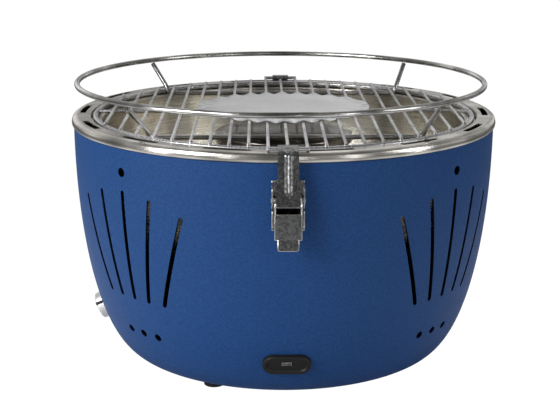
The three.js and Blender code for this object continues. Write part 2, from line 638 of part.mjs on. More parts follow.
/** A rivet that holds the base to the bowl's wall, with a head on each side. */
function latchRivet(z) {
  const headRadius = RIVET_RADIUS + 1.4;
  const headDepth = 1.1;
  const wallIn = wallRadius(z) - BOWL_SHEET - FIT_GAP - 0.6;
  const plateOut = LATCH.plateOut + FIT_GAP;
  const rivet = revolve([
    [0, wallIn - headDepth], [headRadius, wallIn - headDepth], [headRadius, wallIn], [RIVET_RADIUS, wallIn],
    [RIVET_RADIUS, plateOut], [headRadius, plateOut], [headRadius - 0.8, plateOut + headDepth],
    [0, plateOut + headDepth],
  ], PIN_FACETS);
  return rivet.rotate([90, 0, 0]).translate([0, 0, z]);
}

for (const [side, azimuth] of [['front', FRONT], ['rear', REAR]]) {
  const latch = new THREE.Group();
  latch.rotation.z = radians(azimuth);
  addTo(latch, `${side}_latch_base`, latchBase(), brushedSteel());
  addTo(latch, `${side}_latch_lever`, latchLever(), polishedSteel());
  addTo(latch, `${side}_latch_strap`, latchStrap(), polishedSteel());
  addTo(latch, `${side}_latch_pivot_pin`,
    acrossLatch(LATCH.pivot, LATCH.pinRadius, LATCH.halfWidth + 0.6), brushedSteel());
  addTo(latch, `${side}_latch_strap_pin`,
    acrossLatch(LATCH.strapPivot, LATCH.strapPinRadius, LATCH.leverHalfWidth + 0.4), brushedSteel());
  LATCH_RIVET_HEIGHTS.forEach((z, i) =>
    addTo(latch, `${side}_latch_rivet_${i + 1}`, latchRivet(z), brushedSteel()));
  grill.add(latch);
}

// ---------------------------------------------------------------- feet and their screws

const FOOT = { radius: 8.6, topRadius: 7.8, screwDepth: 6 };
FOOT_AZIMUTHS.forEach((azimuth, i) => {
  const spot = polar(FOOT_CIRCLE, azimuth, 0);
  const top = BOWL_BASE - FIT_GAP;
  const body = revolve([[0, 0], [FOOT.radius - 1, 0], [FOOT.radius, 1], [FOOT.topRadius, top], [0, top]], 16);
  const bore = drum(SCREW_RADIUS + FIT_GAP, top - FOOT.screwDepth - FIT_GAP, top + 1, PIN_FACETS);
  add(`foot_${i + 1}`, cut(body, bore), blackRubber()).position.copy(spot);

  const headZ = BOWL_BASE + BOWL_SHEET + FIT_GAP;
  const screw = revolve([
    [0, top - FOOT.screwDepth], [SCREW_RADIUS, top - FOOT.screwDepth], [SCREW_RADIUS, headZ],
    [SCREW_RADIUS * 2, headZ], [SCREW_RADIUS * 1.6, headZ + 2], [0, headZ + 2],
  ], PIN_FACETS);
  add(`foot_screw_${i + 1}`, screw, brushedSteel()).position.copy(spot);
});

// ---------------------------------------------------------------- fan: housing, motor, shaft, impeller

const FLOOR_Z = BOWL_BASE + BOWL_SHEET;      // the inside of the outer bowl's base
const FAN = {
  housingRadius: 47, housingSheet: 2, baseZ: FLOOR_Z + FIT_GAP, topZ: 52, mouthRadius: 30,
  flangeRadius: 58, motorRadius: 13.5, motorTop: 33, shaftRadius: 1.5, shaftTop: 46,
  impellerRadius: 40, discZ: 36, discSheet: 1.5, hubRadius: 8, bladeTop: 47, blades: 9,
};

const housingBlank = revolveRing([
  [FAN.motorRadius + 1, FAN.baseZ],
  [FAN.flangeRadius, FAN.baseZ],
  [FAN.flangeRadius, FAN.baseZ + FAN.housingSheet],
  [FAN.housingRadius, FAN.baseZ + FAN.housingSheet],
  [FAN.housingRadius, FAN.topZ],
  [FAN.mouthRadius, FAN.topZ],
  [FAN.mouthRadius, FAN.topZ - FAN.housingSheet],
  [FAN.housingRadius - FAN.housingSheet, FAN.topZ - FAN.housingSheet],
  [FAN.housingRadius - FAN.housingSheet, FAN.baseZ + FAN.housingSheet],
  [FAN.motorRadius + 1, FAN.baseZ + FAN.housingSheet],
], 28);
const AIR_INLETS = 6;
const inlets = Array.from({ length: AIR_INLETS }, (_, i) => {
  const azimuth = (i + 0.5) * 360 / AIR_INLETS;
  const frame = new THREE.Matrix4();
  frame.makeBasis(polar(1, azimuth + 90, 0), place(0, 0, 1), polar(1, azimuth, 0));
  frame.setPosition(polar(FAN.housingRadius, azimuth, FLOOR_Z + 12));
  return moved(prism(slotShape(26, 8), -6, 6, 2), frame);
});
const fanScrewBores = FAN_SCREW_AZIMUTHS.map((azimuth) => {
  const spot = polar(FAN_SCREW_CIRCLE, azimuth, 0);
  return drum(SCREW_RADIUS + FIT_GAP, 0, FLOOR_Z + 5, PIN_FACETS).translate([spot.x, spot.y, 0]);
});
add('fan_housing', cut(housingBlank, ...inlets, ...fanScrewBores), blackPlastic());

const motorBlank = drum(FAN.motorRadius, FAN.baseZ, FAN.motorTop, 24);
const motorBore = drum(FAN.shaftRadius + FIT_GAP, FAN.motorTop - 8, FAN.motorTop + 1, PIN_FACETS);
add('fan_motor', cut(motorBlank, motorBore), brushedSteel());
add('fan_shaft', drum(FAN.shaftRadius, FAN.motorTop - 7, FAN.shaftTop, PIN_FACETS), polishedSteel());

const impellerDisc = drum(FAN.impellerRadius, FAN.discZ, FAN.discZ + FAN.discSheet, 36);
const impellerHub = drum(FAN.hubRadius, FAN.discZ, FAN.bladeTop, 20);
const impellerBore = drum(FAN.shaftRadius + FIT_GAP, FAN.discZ - 1, FAN.shaftTop + FIT_GAP, PIN_FACETS);
const blades = Array.from({ length: FAN.blades }, (_, i) => {
  const blade = box(place(18, -0.8, FAN.discZ + 0.5), place(FAN.impellerRadius - 1, 0.8, FAN.bladeTop));
  return blade.rotate([0, 0, 25]).translate([0, -7, 0]).rotate([0, 0, i * 360 / FAN.blades]);
});
add('fan_impeller', cut(join(impellerDisc, impellerHub, ...blades), impellerBore), greyPlastic());

FAN_SCREW_AZIMUTHS.forEach((azimuth, i) => {
  const headZ = FAN.baseZ + FAN.housingSheet + FIT_GAP;
  const screw = revolve([
    [0, BOWL_BASE + 0.2], [SCREW_RADIUS, BOWL_BASE + 0.2], [SCREW_RADIUS, headZ],
    [SCREW_RADIUS * 2, headZ], [SCREW_RADIUS * 1.6, headZ + 2], [0, headZ + 2],
  ], PIN_FACETS);
  add(`fan_screw_${i + 1}`, screw, brushedSteel()).position.copy(polar(FAN_SCREW_CIRCLE, azimuth, 0));
});

// ---------------------------------------------------------------- air duct and heat shield

const DUCT = { outer: 28.5, sheet: 1, low: FAN.topZ - FAN.housingSheet, high: INNER_FLOOR_Z - FIT_GAP };
add('air_duct', revolveRing([
  [DUCT.outer - DUCT.sheet, DUCT.low], [DUCT.outer, DUCT.low],
  [DUCT.outer, DUCT.high], [DUCT.outer - DUCT.sheet, DUCT.high],
], 32), brushedSteel());

const SHIELD = { radius: 92, hole: DUCT.outer + FIT_GAP, z: 61, sheet: 0.8 };
add('heat_shield', revolveRing([
  [SHIELD.hole, SHIELD.z], [SHIELD.radius, SHIELD.z], [SHIELD.radius + 2, SHIELD.z - 3],
  [SHIELD.radius + 3, SHIELD.z - 3], [SHIELD.radius + 0.6, SHIELD.z + SHIELD.sheet],
  [SHIELD.hole, SHIELD.z + SHIELD.sheet],
], 36), brushedSteel());

// ---------------------------------------------------------------- battery box, its lid and four cells

const CELL = { radius: 7.1, length: 50, pitch: 14.8, count: 4 };
const BATTERY = { wall: 1.6, middleY: 88, baseZ: FLOOR_Z + FIT_GAP };
const cellsWidth = CELL.pitch * CELL.count;
const batteryHalf = { x: cellsWidth / 2 + BATTERY.wall, y: CELL.length / 2 + 1.5 + BATTERY.wall };
const batteryTop = BATTERY.baseZ + BATTERY.wall + 2 * CELL.radius + 1;
const batteryOuter = box(
  place(-batteryHalf.x, BATTERY.middleY - batteryHalf.y, BATTERY.baseZ),
  place(batteryHalf.x, BATTERY.middleY + batteryHalf.y, batteryTop));
const roomHalf = { x: batteryHalf.x - BATTERY.wall, y: batteryHalf.y - BATTERY.wall };
const batteryRoom = box(
  place(-roomHalf.x, BATTERY.middleY - roomHalf.y, BATTERY.baseZ + BATTERY.wall),
  place(roomHalf.x, BATTERY.middleY + roomHalf.y, batteryTop + 1));
add('battery_box', cut(batteryOuter, batteryRoom), blackPlastic());
add('battery_lid', box(
  place(-batteryHalf.x, BATTERY.middleY - batteryHalf.y, batteryTop + FIT_GAP),
  place(batteryHalf.x, BATTERY.middleY + batteryHalf.y, batteryTop + FIT_GAP + BATTERY.wall)),
blackPlastic());
for (let i = 0; i < CELL.count; i += 1) {
  const x = (i - (CELL.count - 1) / 2) * CELL.pitch;
  const z = BATTERY.baseZ + BATTERY.wall + FIT_GAP + CELL.radius;
  const half = CELL.length / 2;
  const cell = join(
    rod(place(x, BATTERY.middleY - half, z), place(x, BATTERY.middleY + half - 1.2, z), CELL.radius, 16),
    rod(place(x, BATTERY.middleY, z), place(x, BATTERY.middleY + half, z), 2.6, 10));
  add(`battery_cell_${i + 1}`, cell, cellWrap());
}

// ---------------------------------------------------------------- circuit board

const BOARD = { x: 84, y: -40, halfX: 15, halfY: 22, z: FLOOR_Z + 3, sheet: 1.6 };
const boardPlate = box(
  place(BOARD.x - BOARD.halfX, BOARD.y - BOARD.halfY, BOARD.z),
  place(BOARD.x + BOARD.halfX, BOARD.y + BOARD.halfY, BOARD.z + BOARD.sheet));
const boardPosts = [[-1, -1], [-1, 1], [1, -1], [1, 1]].map(([sx, sy]) =>
  drum(2.2, FLOOR_Z + FIT_GAP, BOARD.z + 0.5, 8)
    .translate([BOARD.x + sx * (BOARD.halfX - 4), BOARD.y + sy * (BOARD.halfY - 4), 0]));
const boardChips = [
  box(place(BOARD.x - 6, BOARD.y - 6, BOARD.z + 1), place(BOARD.x + 4, BOARD.y + 4, BOARD.z + 3.6)),
  box(place(BOARD.x - 10, BOARD.y + 11, BOARD.z + 1), place(BOARD.x + 9, BOARD.y + 18, BOARD.z + 7)),
];
add('circuit_board', join(boardPlate, ...boardPosts, ...boardChips), boardGreen());

// ---------------------------------------------------------------- power port: bezel and socket

const BEZEL = {
  length: 37.4, width: 17.8, proud: 3.2, neckDepth: 7, recess: { length: 29.6, width: 10.6, depth: 1.6 },
};
const SOCKET = { halfX: 3.8, halfY: 1.6, sheet: 0.4, low: -6, high: 0.8 };
const portFrame = wallFrame(FRONT, PORT_Z);
const bowlEnvelope = revolve([[0, BOWL_BASE - 1], ...wallProfile(FIT_GAP, 24).toReversed(), [0, BOWL_TOP]]);
const bezelFlange = moved(prism(slotShape(BEZEL.length, BEZEL.width), -4, BEZEL.proud), portFrame)
  .subtract(bowlEnvelope);
const bezelNeck = prism(
  slotShape(PORT_HOLE.length - 1, PORT_HOLE.width - 1), -BEZEL.neckDepth, BEZEL.proud - 0.5);
const bezelCuts = join(
  prism(
    slotShape(BEZEL.recess.length, BEZEL.recess.width), BEZEL.proud - BEZEL.recess.depth, BEZEL.proud + 1),
  box(
    place(-SOCKET.halfX - FIT_GAP, -SOCKET.halfY - FIT_GAP, -BEZEL.neckDepth - 1),
    place(SOCKET.halfX + FIT_GAP, SOCKET.halfY + FIT_GAP, BEZEL.proud)),
);
const bezelBlank = join(bezelFlange, moved(bezelNeck, portFrame));
add('port_bezel', cut(bezelBlank, moved(bezelCuts, portFrame)), blackPlastic());

const socketShell = cut(
  box(place(-SOCKET.halfX, -SOCKET.halfY, SOCKET.low), place(SOCKET.halfX, SOCKET.halfY, SOCKET.high)),
  box(
    place(-SOCKET.halfX + SOCKET.sheet, -SOCKET.halfY + SOCKET.sheet, SOCKET.low + 1),
    place(SOCKET.halfX - SOCKET.sheet, SOCKET.halfY - SOCKET.sheet, SOCKET.high + 1)),
);
const socketTongue = box(place(-2.4, -0.35, SOCKET.low + 0.5), place(2.4, 0.35, SOCKET.high - 0.6));
add('usb_socket', moved(join(socketShell, socketTongue), portFrame), polishedSteel());

// ---------------------------------------------------------------- speed knob, shaft and control

const KNOB = { radius: 11.8, proud: 8.2, gap: 0.8, boreDepth: 5, grip: 0.7 };
const knobFrame = wallFrame(KNOB_AZIMUTH, KNOB_Z);
const knobBlank = revolve([
  [0, KNOB.gap], [KNOB.radius, KNOB.gap], [KNOB.radius, 3.4], [KNOB.radius - KNOB.grip, 3.8],
  [KNOB.radius - KNOB.grip, 4.6], [KNOB.radius - 0.2, 5], [KNOB.radius - 0.4, KNOB.proud - 1],
  [KNOB.radius - 1.4, KNOB.proud], [0, KNOB.proud],
], 28);
const knobBore = drum(SHAFT_RADIUS + FIT_GAP, 0, KNOB.gap + KNOB.boreDepth, 12);
add('speed_knob', moved(cut(knobBlank, knobBore), knobFrame), silverKnob());

const CONTROL = { half: 8, low: -13, high: -4.4, shaftLow: -11 };
const controlShaft = drum(SHAFT_RADIUS, CONTROL.shaftLow, KNOB.gap + KNOB.boreDepth - FIT_GAP, 12);
add('control_shaft', moved(controlShaft, knobFrame), brushedSteel());
const controlBody = cut(
  box(place(-CONTROL.half, -CONTROL.half, CONTROL.low), place(CONTROL.half, CONTROL.half, CONTROL.high)),
  drum(SHAFT_RADIUS + FIT_GAP, CONTROL.shaftLow - FIT_GAP, 0, 12));
add('speed_control', moved(controlBody, knobFrame), greyPlastic());

// ---------------------------------------------------------------- leads between the electrical pieces

const LEAD_RADIUS = 1.2;
const LEAD_Z = FLOOR_Z + 2.6;
const LEADS = {
  usb_lead: [
    place(0, -138, 46), place(2, -132, 42), place(8, -120, 28), place(16, -108, LEAD_Z + 2),
    place(34, -88, LEAD_Z), place(50, -66, LEAD_Z),
    place(60, -51, BOARD.z + 1), place(68.4, -50, BOARD.z + 1),
  ],
  battery_lead: [
    place(32.2, 84, 24), place(40, 82, 22), place(52, 62, LEAD_Z), place(64, 34, LEAD_Z),
    place(72, 2, LEAD_Z), place(74, -10, BOARD.z + 1), place(74, -17.4, BOARD.z + 1),
  ],
  control_lead: [
    place(-140.1, 0, 46.2), place(-135, 0, 47.4), place(-126, 4, 38), place(-112, 8, LEAD_Z + 4),
    place(-92, 0, LEAD_Z), place(-72, -26, LEAD_Z), place(-52, -50, LEAD_Z), place(-24, -66, LEAD_Z),
    place(8, -70, LEAD_Z), place(38, -58, LEAD_Z), place(56, -34, BOARD.z), place(68.4, -30, BOARD.z + 1),
  ],
  motor_lead: [
    place(14, 0, 24), place(19, 0, 25), place(26, 2, 20), place(36, 4, 19), place(44.2, 4, 19),
  ],
};
for (const [name, route] of Object.entries(LEADS)) {
  add(name, wire(route, LEAD_RADIUS, route.length * 3, 6), wireCover());
}

export default grill;
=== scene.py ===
"""A portable tabletop charcoal grill: the finished surfaces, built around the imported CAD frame.

Everything is in metres in the frame's own axes: +Z up, -Y the front, +X to the right.
"""

import math

import bmesh
import bpy
from mathutils import Matrix, Vector


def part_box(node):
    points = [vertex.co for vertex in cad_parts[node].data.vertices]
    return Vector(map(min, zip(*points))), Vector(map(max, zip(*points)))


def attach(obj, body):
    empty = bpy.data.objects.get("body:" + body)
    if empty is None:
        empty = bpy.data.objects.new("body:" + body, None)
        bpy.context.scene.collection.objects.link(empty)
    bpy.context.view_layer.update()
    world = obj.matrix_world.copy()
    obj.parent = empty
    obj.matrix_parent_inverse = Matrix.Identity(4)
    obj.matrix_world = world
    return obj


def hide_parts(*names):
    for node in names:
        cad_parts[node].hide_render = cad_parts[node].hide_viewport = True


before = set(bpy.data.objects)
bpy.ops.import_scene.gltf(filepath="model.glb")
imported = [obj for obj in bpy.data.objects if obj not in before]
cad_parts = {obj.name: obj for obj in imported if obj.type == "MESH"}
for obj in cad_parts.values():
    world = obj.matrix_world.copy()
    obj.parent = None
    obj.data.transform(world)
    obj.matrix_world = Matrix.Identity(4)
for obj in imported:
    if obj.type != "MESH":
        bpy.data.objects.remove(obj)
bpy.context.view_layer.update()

# Camera: it stands a metre or so in front of the grill, a little higher than the guard ring, and looks
# down on the grate. The grill is turned a touch on its feet, so the camera stands that far round it.
MM = 0.001
camera_orbit = math.radians(-1.2)
camera_heading = 0.0040
camera_pitch = math.radians(14.45)
camera_roll = 0.0021
camera = bpy.data.objects.new("camera", bpy.data.cameras.new("camera"))
camera.data.sensor_width = 36
camera.data.lens = 81.4
camera.location = Matrix.Rotation(camera_orbit, 4, "Z") @ Vector((1.4 * MM, -1056.7 * MM, 397.2 * MM))
camera.rotation_euler = (Matrix.Rotation(camera_orbit + camera_heading, 3, "Z")
                         @ Matrix.Rotation(math.pi / 2 - camera_pitch, 3, "X")
                         @ Matrix.Rotation(camera_roll, 3, "Z")).to_euler()
bpy.context.scene.collection.objects.link(camera)
bpy.context.scene.camera = camera

# Studio: a white floor without an edge in view, greyer further off to everything but the camera, a white
# surround that is brighter behind the grill, and soft boxes whose reflections run down the paint and steel.
bpy.context.scene.view_settings.view_transform = "Standard"


def spread(tree, value, low, high, start=0.3, end=0.7):
    """The value's range from start to end spread between low and high."""
    node = tree.nodes.new("ShaderNodeMapRange")
    node.inputs["From Min"].default_value = start
    node.inputs["From Max"].default_value = end
    node.inputs["To Min"].default_value = low
    node.inputs["To Max"].default_value = high
    tree.links.new(value, node.inputs["Value"])
    return node.outputs["Result"]


world = bpy.data.worlds.new("studio_surround")
world.use_nodes = True
sky = world.node_tree
direction = sky.nodes.new("ShaderNodeTexCoord").outputs["Generated"]
panels = sky.nodes.new("ShaderNodeTexNoise")
panels.inputs["Scale"].default_value = 3.1
panels.inputs["Detail"].default_value = 1.5
split_direction = sky.nodes.new("ShaderNodeSeparateXYZ")
strength = sky.nodes.new("ShaderNodeMath")
strength.operation = "MULTIPLY"
sky.links.new(direction, panels.inputs["Vector"])
sky.links.new(direction, split_direction.inputs["Vector"])
sky.links.new(spread(sky, panels.outputs["Fac"], 0.45, 1.15, 0.44, 0.58), strength.inputs[0])
sky.links.new(spread(sky, split_direction.outputs["Y"], 0.16, 0.72, -0.15, 0.75), strength.inputs[1])
sky.links.new(strength.outputs["Value"], sky.nodes["Background"].inputs["Strength"])
sky.nodes["Background"].inputs["Color"].default_value = (1.0, 0.995, 0.985, 1)
bpy.context.scene.world = world


def soft_box(name, place, aim, width, height, power):
    """A rectangular area light at a place, turned to its aim and hidden from the camera."""
    light = bpy.data.lights.new(name, "AREA")
    light.shape = "RECTANGLE"
    light.size, light.size_y, light.energy = width, height, power
    box = bpy.data.objects.new(name, light)
    box.location = place
    box.rotation_euler = (Vector(aim) - Vector(place)).to_track_quat("-Z", "Y").to_euler()
    box.visible_camera = False
    bpy.context.scene.collection.objects.link(box)
    return box


soft_box("left_soft_box", (-1.3, -1.1, 0.9), (0, 0, 0.12), 0.8, 0.9, 20)
soft_box("right_soft_box", (1.6, -0.7, 0.8), (0, 0, 0.12), 0.5, 0.9, 4.6)
top_box = soft_box("top_soft_box", (0.0, 0.5, 1.6), (0, 0, 0.2), 1.5, 1.1, 24)
top_box.visible_glossy = False
strip_lights = [(-62, 0.9, 0.10, 1.0), (-28, 1.0, 0.06, 0.6), (8, 1.25, 0.05, 0.3), (33, 1.0, 0.09, 0.5),
                (66, 0.9, 0.06, 0.3)]
for number, (azimuth, reach, wide, power) in enumerate(strip_lights):
    angle = math.radians(azimuth)
    soft_box(f"strip_light_{number + 1}", (reach * math.sin(angle), -reach * math.cos(angle), 0.3),
             (0, 0, 0.2), wide, 0.6, power)

floor_mesh = bmesh.new()
bmesh.ops.create_grid(floor_mesh, x_segments=1, y_segments=1, size=12)
floor_data = bpy.data.meshes.new("studio_floor")
floor_mesh.to_mesh(floor_data)
floor_mesh.free()
floor = bpy.data.objects.new("studio_floor", floor_data)
bpy.context.scene.collection.objects.link(floor)
floor_paint = bpy.data.materials.new("white_floor")
floor_paint.use_nodes = True
floor_tree = floor_paint.node_tree
floor_shader = floor_tree.nodes["Principled BSDF"]
floor_reach = floor_tree.nodes.new("ShaderNodeVectorMath")
floor_reach.operation = "LENGTH"
floor_tree.links.new(floor_tree.nodes.new("ShaderNodeTexCoord").outputs["Object"], floor_reach.inputs[0])
floor_tree.links.new(spread(floor_tree, floor_reach.outputs["Value"], 0.62, 0.18, 0.35, 0.75),
                     floor_shader.inputs["Base Color"])
floor_shader.inputs["Roughness"].default_value = 0.85
floor_glow = floor_tree.nodes.new("ShaderNodeEmission")
floor_mix = floor_tree.nodes.new("ShaderNodeMixShader")
floor_share = floor_tree.nodes.new("ShaderNodeMath")
floor_share.operation = "MULTIPLY"
floor_share.inputs[1].default_value = 0.9
camera_rays = floor_tree.nodes.new("ShaderNodeLightPath").outputs["Is Camera Ray"]
floor_tree.links.new(camera_rays, floor_share.inputs[0])
floor_tree.links.new(floor_share.outputs["Value"], floor_mix.inputs["Fac"])
floor_tree.links.new(floor_shader.outputs["BSDF"], floor_mix.inputs[1])
floor_tree.links.new(floor_glow.outputs["Emission"], floor_mix.inputs[2])
floor_tree.links.new(floor_mix.outputs["Shader"], floor_tree.nodes["Material Output"].inputs["Surface"])
floor_glow.inputs["Strength"].default_value = 1.12
floor_data.materials.append(floor_paint)

# Outer bowl: one deep-drawn steel shell in blue powder coat, with fans of air slots pressed through it.
# Its wall follows a superellipse from the rim down to a flat base.


def material_with(name, colour, roughness, metallic=0.0):
    """A material, its node tree, its shader and its object coordinates."""
    material = bpy.data.materials.new(name)
    material.use_nodes = True
    tree = material.node_tree
    shader = tree.nodes["Principled BSDF"]
    shader.inputs["Base Color"].default_value = (*colour, 1)
    shader.inputs["Roughness"].default_value = roughness
    shader.inputs["Metallic"].default_value = metallic
    place = tree.nodes.new("ShaderNodeTexCoord").outputs["Object"]
    return material, tree, shader, place


def noise(tree, place, scale, detail=3.0, stretch=(1, 1, 1)):
    """A noise pattern, in features to the metre, stretched along the axes given."""
    mapping = tree.nodes.new("ShaderNodeMapping")
    mapping.inputs["Scale"].default_value = stretch
    tree.links.new(place, mapping.inputs["Vector"])
    pattern = tree.nodes.new("ShaderNodeTexNoise")
    pattern.inputs["Scale"].default_value = scale
    pattern.inputs["Detail"].default_value = detail
    tree.links.new(mapping.outputs["Vector"], pattern.inputs["Vector"])
    return pattern.outputs["Fac"]


def two_tones(tree, value, first, second):
    """From the first colour to the second by the value; a colour is three numbers or a socket."""
    node = tree.nodes.new("ShaderNodeMix")
    node.data_type = "RGBA"
    for socket, colour in (("A", first), ("B", second)):
        if isinstance(colour, tuple):
            node.inputs[socket].default_value = (*colour, 1)
        else:
            tree.links.new(colour, node.inputs[socket])
    tree.links.new(value, node.inputs["Factor"])
    return node.outputs["Result"]


def bump(tree, shader, height, distance, strength=1.0):
    """Relief by the height, up to a distance in metres, on top of any relief already there."""
    node = tree.nodes.new("ShaderNodeBump")
    node.inputs["Distance"].default_value = distance
    node.inputs["Strength"].default_value = strength
    tree.links.new(height, node.inputs["Height"])
    if shader.inputs["Normal"].is_linked:
        tree.links.new(shader.inputs["Normal"].links[0].from_socket, node.inputs["Normal"])
    tree.links.new(node.outputs["Normal"], shader.inputs["Normal"])


def powder_coat():
    """The blue paint of the outer bowl, finely pebbled and a little uneven in tone."""
    material, tree, shader, place = material_with("blue_powder_coat", (0.012, 0.062, 0.22), 0.55)
    speckle = spread(tree, noise(tree, place, 620, detail=2), 0.0, 1.0, 0.35, 0.65)
    tree.links.new(two_tones(tree, speckle, (0.0095, 0.053, 0.186), (0.0142, 0.071, 0.238)),
                   shader.inputs["Base Color"])
    grain = noise(tree, place, 1100, detail=2)
    tree.links.new(spread(tree, grain, 0.46, 0.64), shader.inputs["Roughness"])
    bump(tree, shader, grain, 0.00007)
    bump(tree, shader, noise(tree, place, 420, detail=1), 0.00011)
    shader.inputs["Specular IOR Level"].default_value = 0.22
    return material


def inside_coat():
    """Near-black painted shade on the inside of the shell, standing in for the dark inside the bowl that
    shows through the slots.
    """
    material, tree, shader, place = material_with("dark_inside_coat", (0.003, 0.004, 0.007), 0.8)
    cloud = spread(tree, noise(tree, place, 300), 0, 1)
    tree.links.new(two_tones(tree, cloud, (0.002, 0.003, 0.005), (0.004, 0.006, 0.011)),
                   shader.inputs["Base Color"])
    shader.inputs["Specular IOR Level"].default_value = 0.1
    return material


def finished(name, mesh, material, body, stands_for, sharp=32):
    """A bmesh as a finished piece that rides on a body and stands for CAD nodes."""
    bmesh.ops.recalc_face_normals(mesh, faces=mesh.faces)
    data = bpy.data.meshes.new(name)
    mesh.to_mesh(data)
    mesh.free()
    return dressed(name, data, material, body, stands_for, sharp)


def dressed(name, data, material, body, stands_for, sharp=32):
    """Mesh data as a piece, smooth but for edges sharper than the angle given in degrees."""
    data.materials.clear()
    data.materials.append(material)
    data.shade_smooth()
    data.set_sharp_from_angle(angle=math.radians(sharp))
    piece = bpy.data.objects.new(name, data)
    bpy.context.scene.collection.objects.link(piece)
    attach(piece, body)
    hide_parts(*stands_for)
    return piece


def rounded(corners, radius, steps=4, closed=False):
    """The corners of a profile with each one rounded off, where its sides are long enough."""
    points = [Vector(corner) for corner in corners]
    line = []
    for i, here in enumerate(points):
        if not closed and i in (0, len(points) - 1):
            line.append(here)
            continue
        back, ahead = points[i - 1] - here, points[(i + 1) % len(points)] - here
        reach = min(radius, back.length * 0.45, ahead.length * 0.45)
        start, end = here + back.normalized() * reach, here + ahead.normalized() * reach
        for k in range(steps + 1):
            t = k / steps
            line.append(start.lerp(here, t).lerp(here.lerp(end, t), t))
    return line


def turned(profile, steps=160, closed=True):
    """A bmesh of a profile of (radius, height) points turned about the Z axis."""
    mesh = bmesh.new()
    points = [mesh.verts.new((r, 0, z)) for r, z in profile]
    pairs = list(zip(points, points[1:] + points[:1])) if closed else list(zip(points, points[1:]))
    edges = [mesh.edges.new(pair) for pair in pairs]
    bmesh.ops.spin(mesh, geom=points + edges, cent=(0, 0, 0), axis=(0, 0, 1), dvec=(0, 0, 0),
                   angle=math.tau, steps=steps, use_merge=True)
    bmesh.ops.remove_doubles(mesh, verts=mesh.verts, dist=1e-6)
    bmesh.ops.recalc_face_normals(mesh, faces=mesh.faces)
    return mesh


def combined(first, second, operation):
    """Mesh data of one bmesh cut by or joined with another."""
    objects = []
    for label, mesh in (("work", first), ("tool", second)):
        bmesh.ops.recalc_face_normals(mesh, faces=mesh.faces)
        data = bpy.data.meshes.new(label)
        mesh.to_mesh(data)
        mesh.free()
        item = bpy.data.objects.new(label, data)
        bpy.context.scene.collection.objects.link(item)
        objects.append(item)
    work, tool = objects
    step = work.modifiers.new(operation, "BOOLEAN")
    step.operation = operation
    step.object = tool
    step.solver = "EXACT"
    graph = bpy.context.evaluated_depsgraph_get()
    result = bpy.data.meshes.new_from_object(work.evaluated_get(graph))
    for item in objects:
        data = item.data
        bpy.data.objects.remove(item)
        bpy.data.meshes.remove(data)
    return result


bowl_low, bowl_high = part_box("outer_bowl")
rim_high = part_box("rim_ring")[1]
rim_top = rim_high.z
bowl_base = bowl_low.z
bowl_top = rim_top - 8 * MM
bowl_top_radius = bowl_high.x
bowl_base_radius = 126.4 * MM
bowl_height_power, bowl_width_power = 2.165, 1.93
bowl_sheet = 1.5 * MM


def wall_point(share):
    """The painted wall's (radius, height), share 0 at its top and 1 where the base starts."""
    u = share * math.pi / 2
    drop = (bowl_top - bowl_base) * math.sin(u) ** (2 / bowl_height_power)
    swell = (bowl_top_radius - bowl_base_radius) * math.cos(u) ** (2 / bowl_width_power)
    return Vector((bowl_base_radius + swell, bowl_top - drop))


def wall_radius(z):
    """The painted wall's radius at a height."""
    u = math.asin(((bowl_top - z) / (bowl_top - bowl_base)) ** (bowl_height_power / 2))
    return wall_point(u / (math.pi / 2)).x


def polar(radius, azimuth, z):
    """The point at a radius, an azimuth in degrees from the front towards +X, and a height."""
    angle = math.radians(azimuth)
    return Vector((radius * math.sin(angle), -radius * math.cos(angle), z))


def wall_frame(azimuth, z):
    """A frame on the wall: local Z out of the wall, local X level to the right."""
    tilt = math.atan2(wall_radius(z + MM) - wall_radius(z - MM), 2 * MM)
    out = polar(math.cos(tilt), azimuth, -math.sin(tilt))
    right = polar(1, azimuth + 90, 0)
    up = out.cross(right)
    turn = Matrix((right, up, out)).transposed().to_4x4()
    return Matrix.Translation(polar(wall_radius(z), azimuth, z)) @ turn


def wall_line(distance, steps=56):
    """The wall's line from its top to the edge of the base, moved outwards by a distance."""
    line = []
    for i in range(steps + 1):
        share = 0.0005 + 0.999 * i / steps
        along = wall_point(min(share + 0.0005, 1)) - wall_point(share - 0.0005)
        out = Vector((-along.y, along.x)).normalized()
        here = wall_point(share) + out * distance
        line.append(Vector((here.x, max(here.y, bowl_base - distance))))
    return line


def stadium_ring(mesh, length, width, z, steps):
    """A loop of vertices round a slot shape with round ends, lying along X at a height."""
    half = (length - width) / 2
    ring = []
    for end in (1, -1):
        for k in range(steps + 1):
            angle = -math.pi / 2 + math.pi * k / steps
            ring.append(mesh.verts.new((end * (half + width / 2 * math.cos(angle)),
                                        end * width / 2 * math.sin(angle), z)))
    return ring


def extruded(mesh, ring, offset):
    """Closes a ring of vertices and extrudes it by an offset into a block; the vertices that adds."""
    top = bmesh.ops.extrude_face_region(mesh, geom=[mesh.faces.new(ring)])["geom"]
    lifted = [item for item in top if isinstance(item, bmesh.types.BMVert)]
    bmesh.ops.translate(mesh, verts=lifted, vec=offset)
    return lifted


def stadium(mesh, length, width, low, high):
    """A slot-shaped block with round ends, lying along X."""
    ring = stadium_ring(mesh, length, width, low, 8)
    return ring + extruded(mesh, ring, (0, 0, high - low))


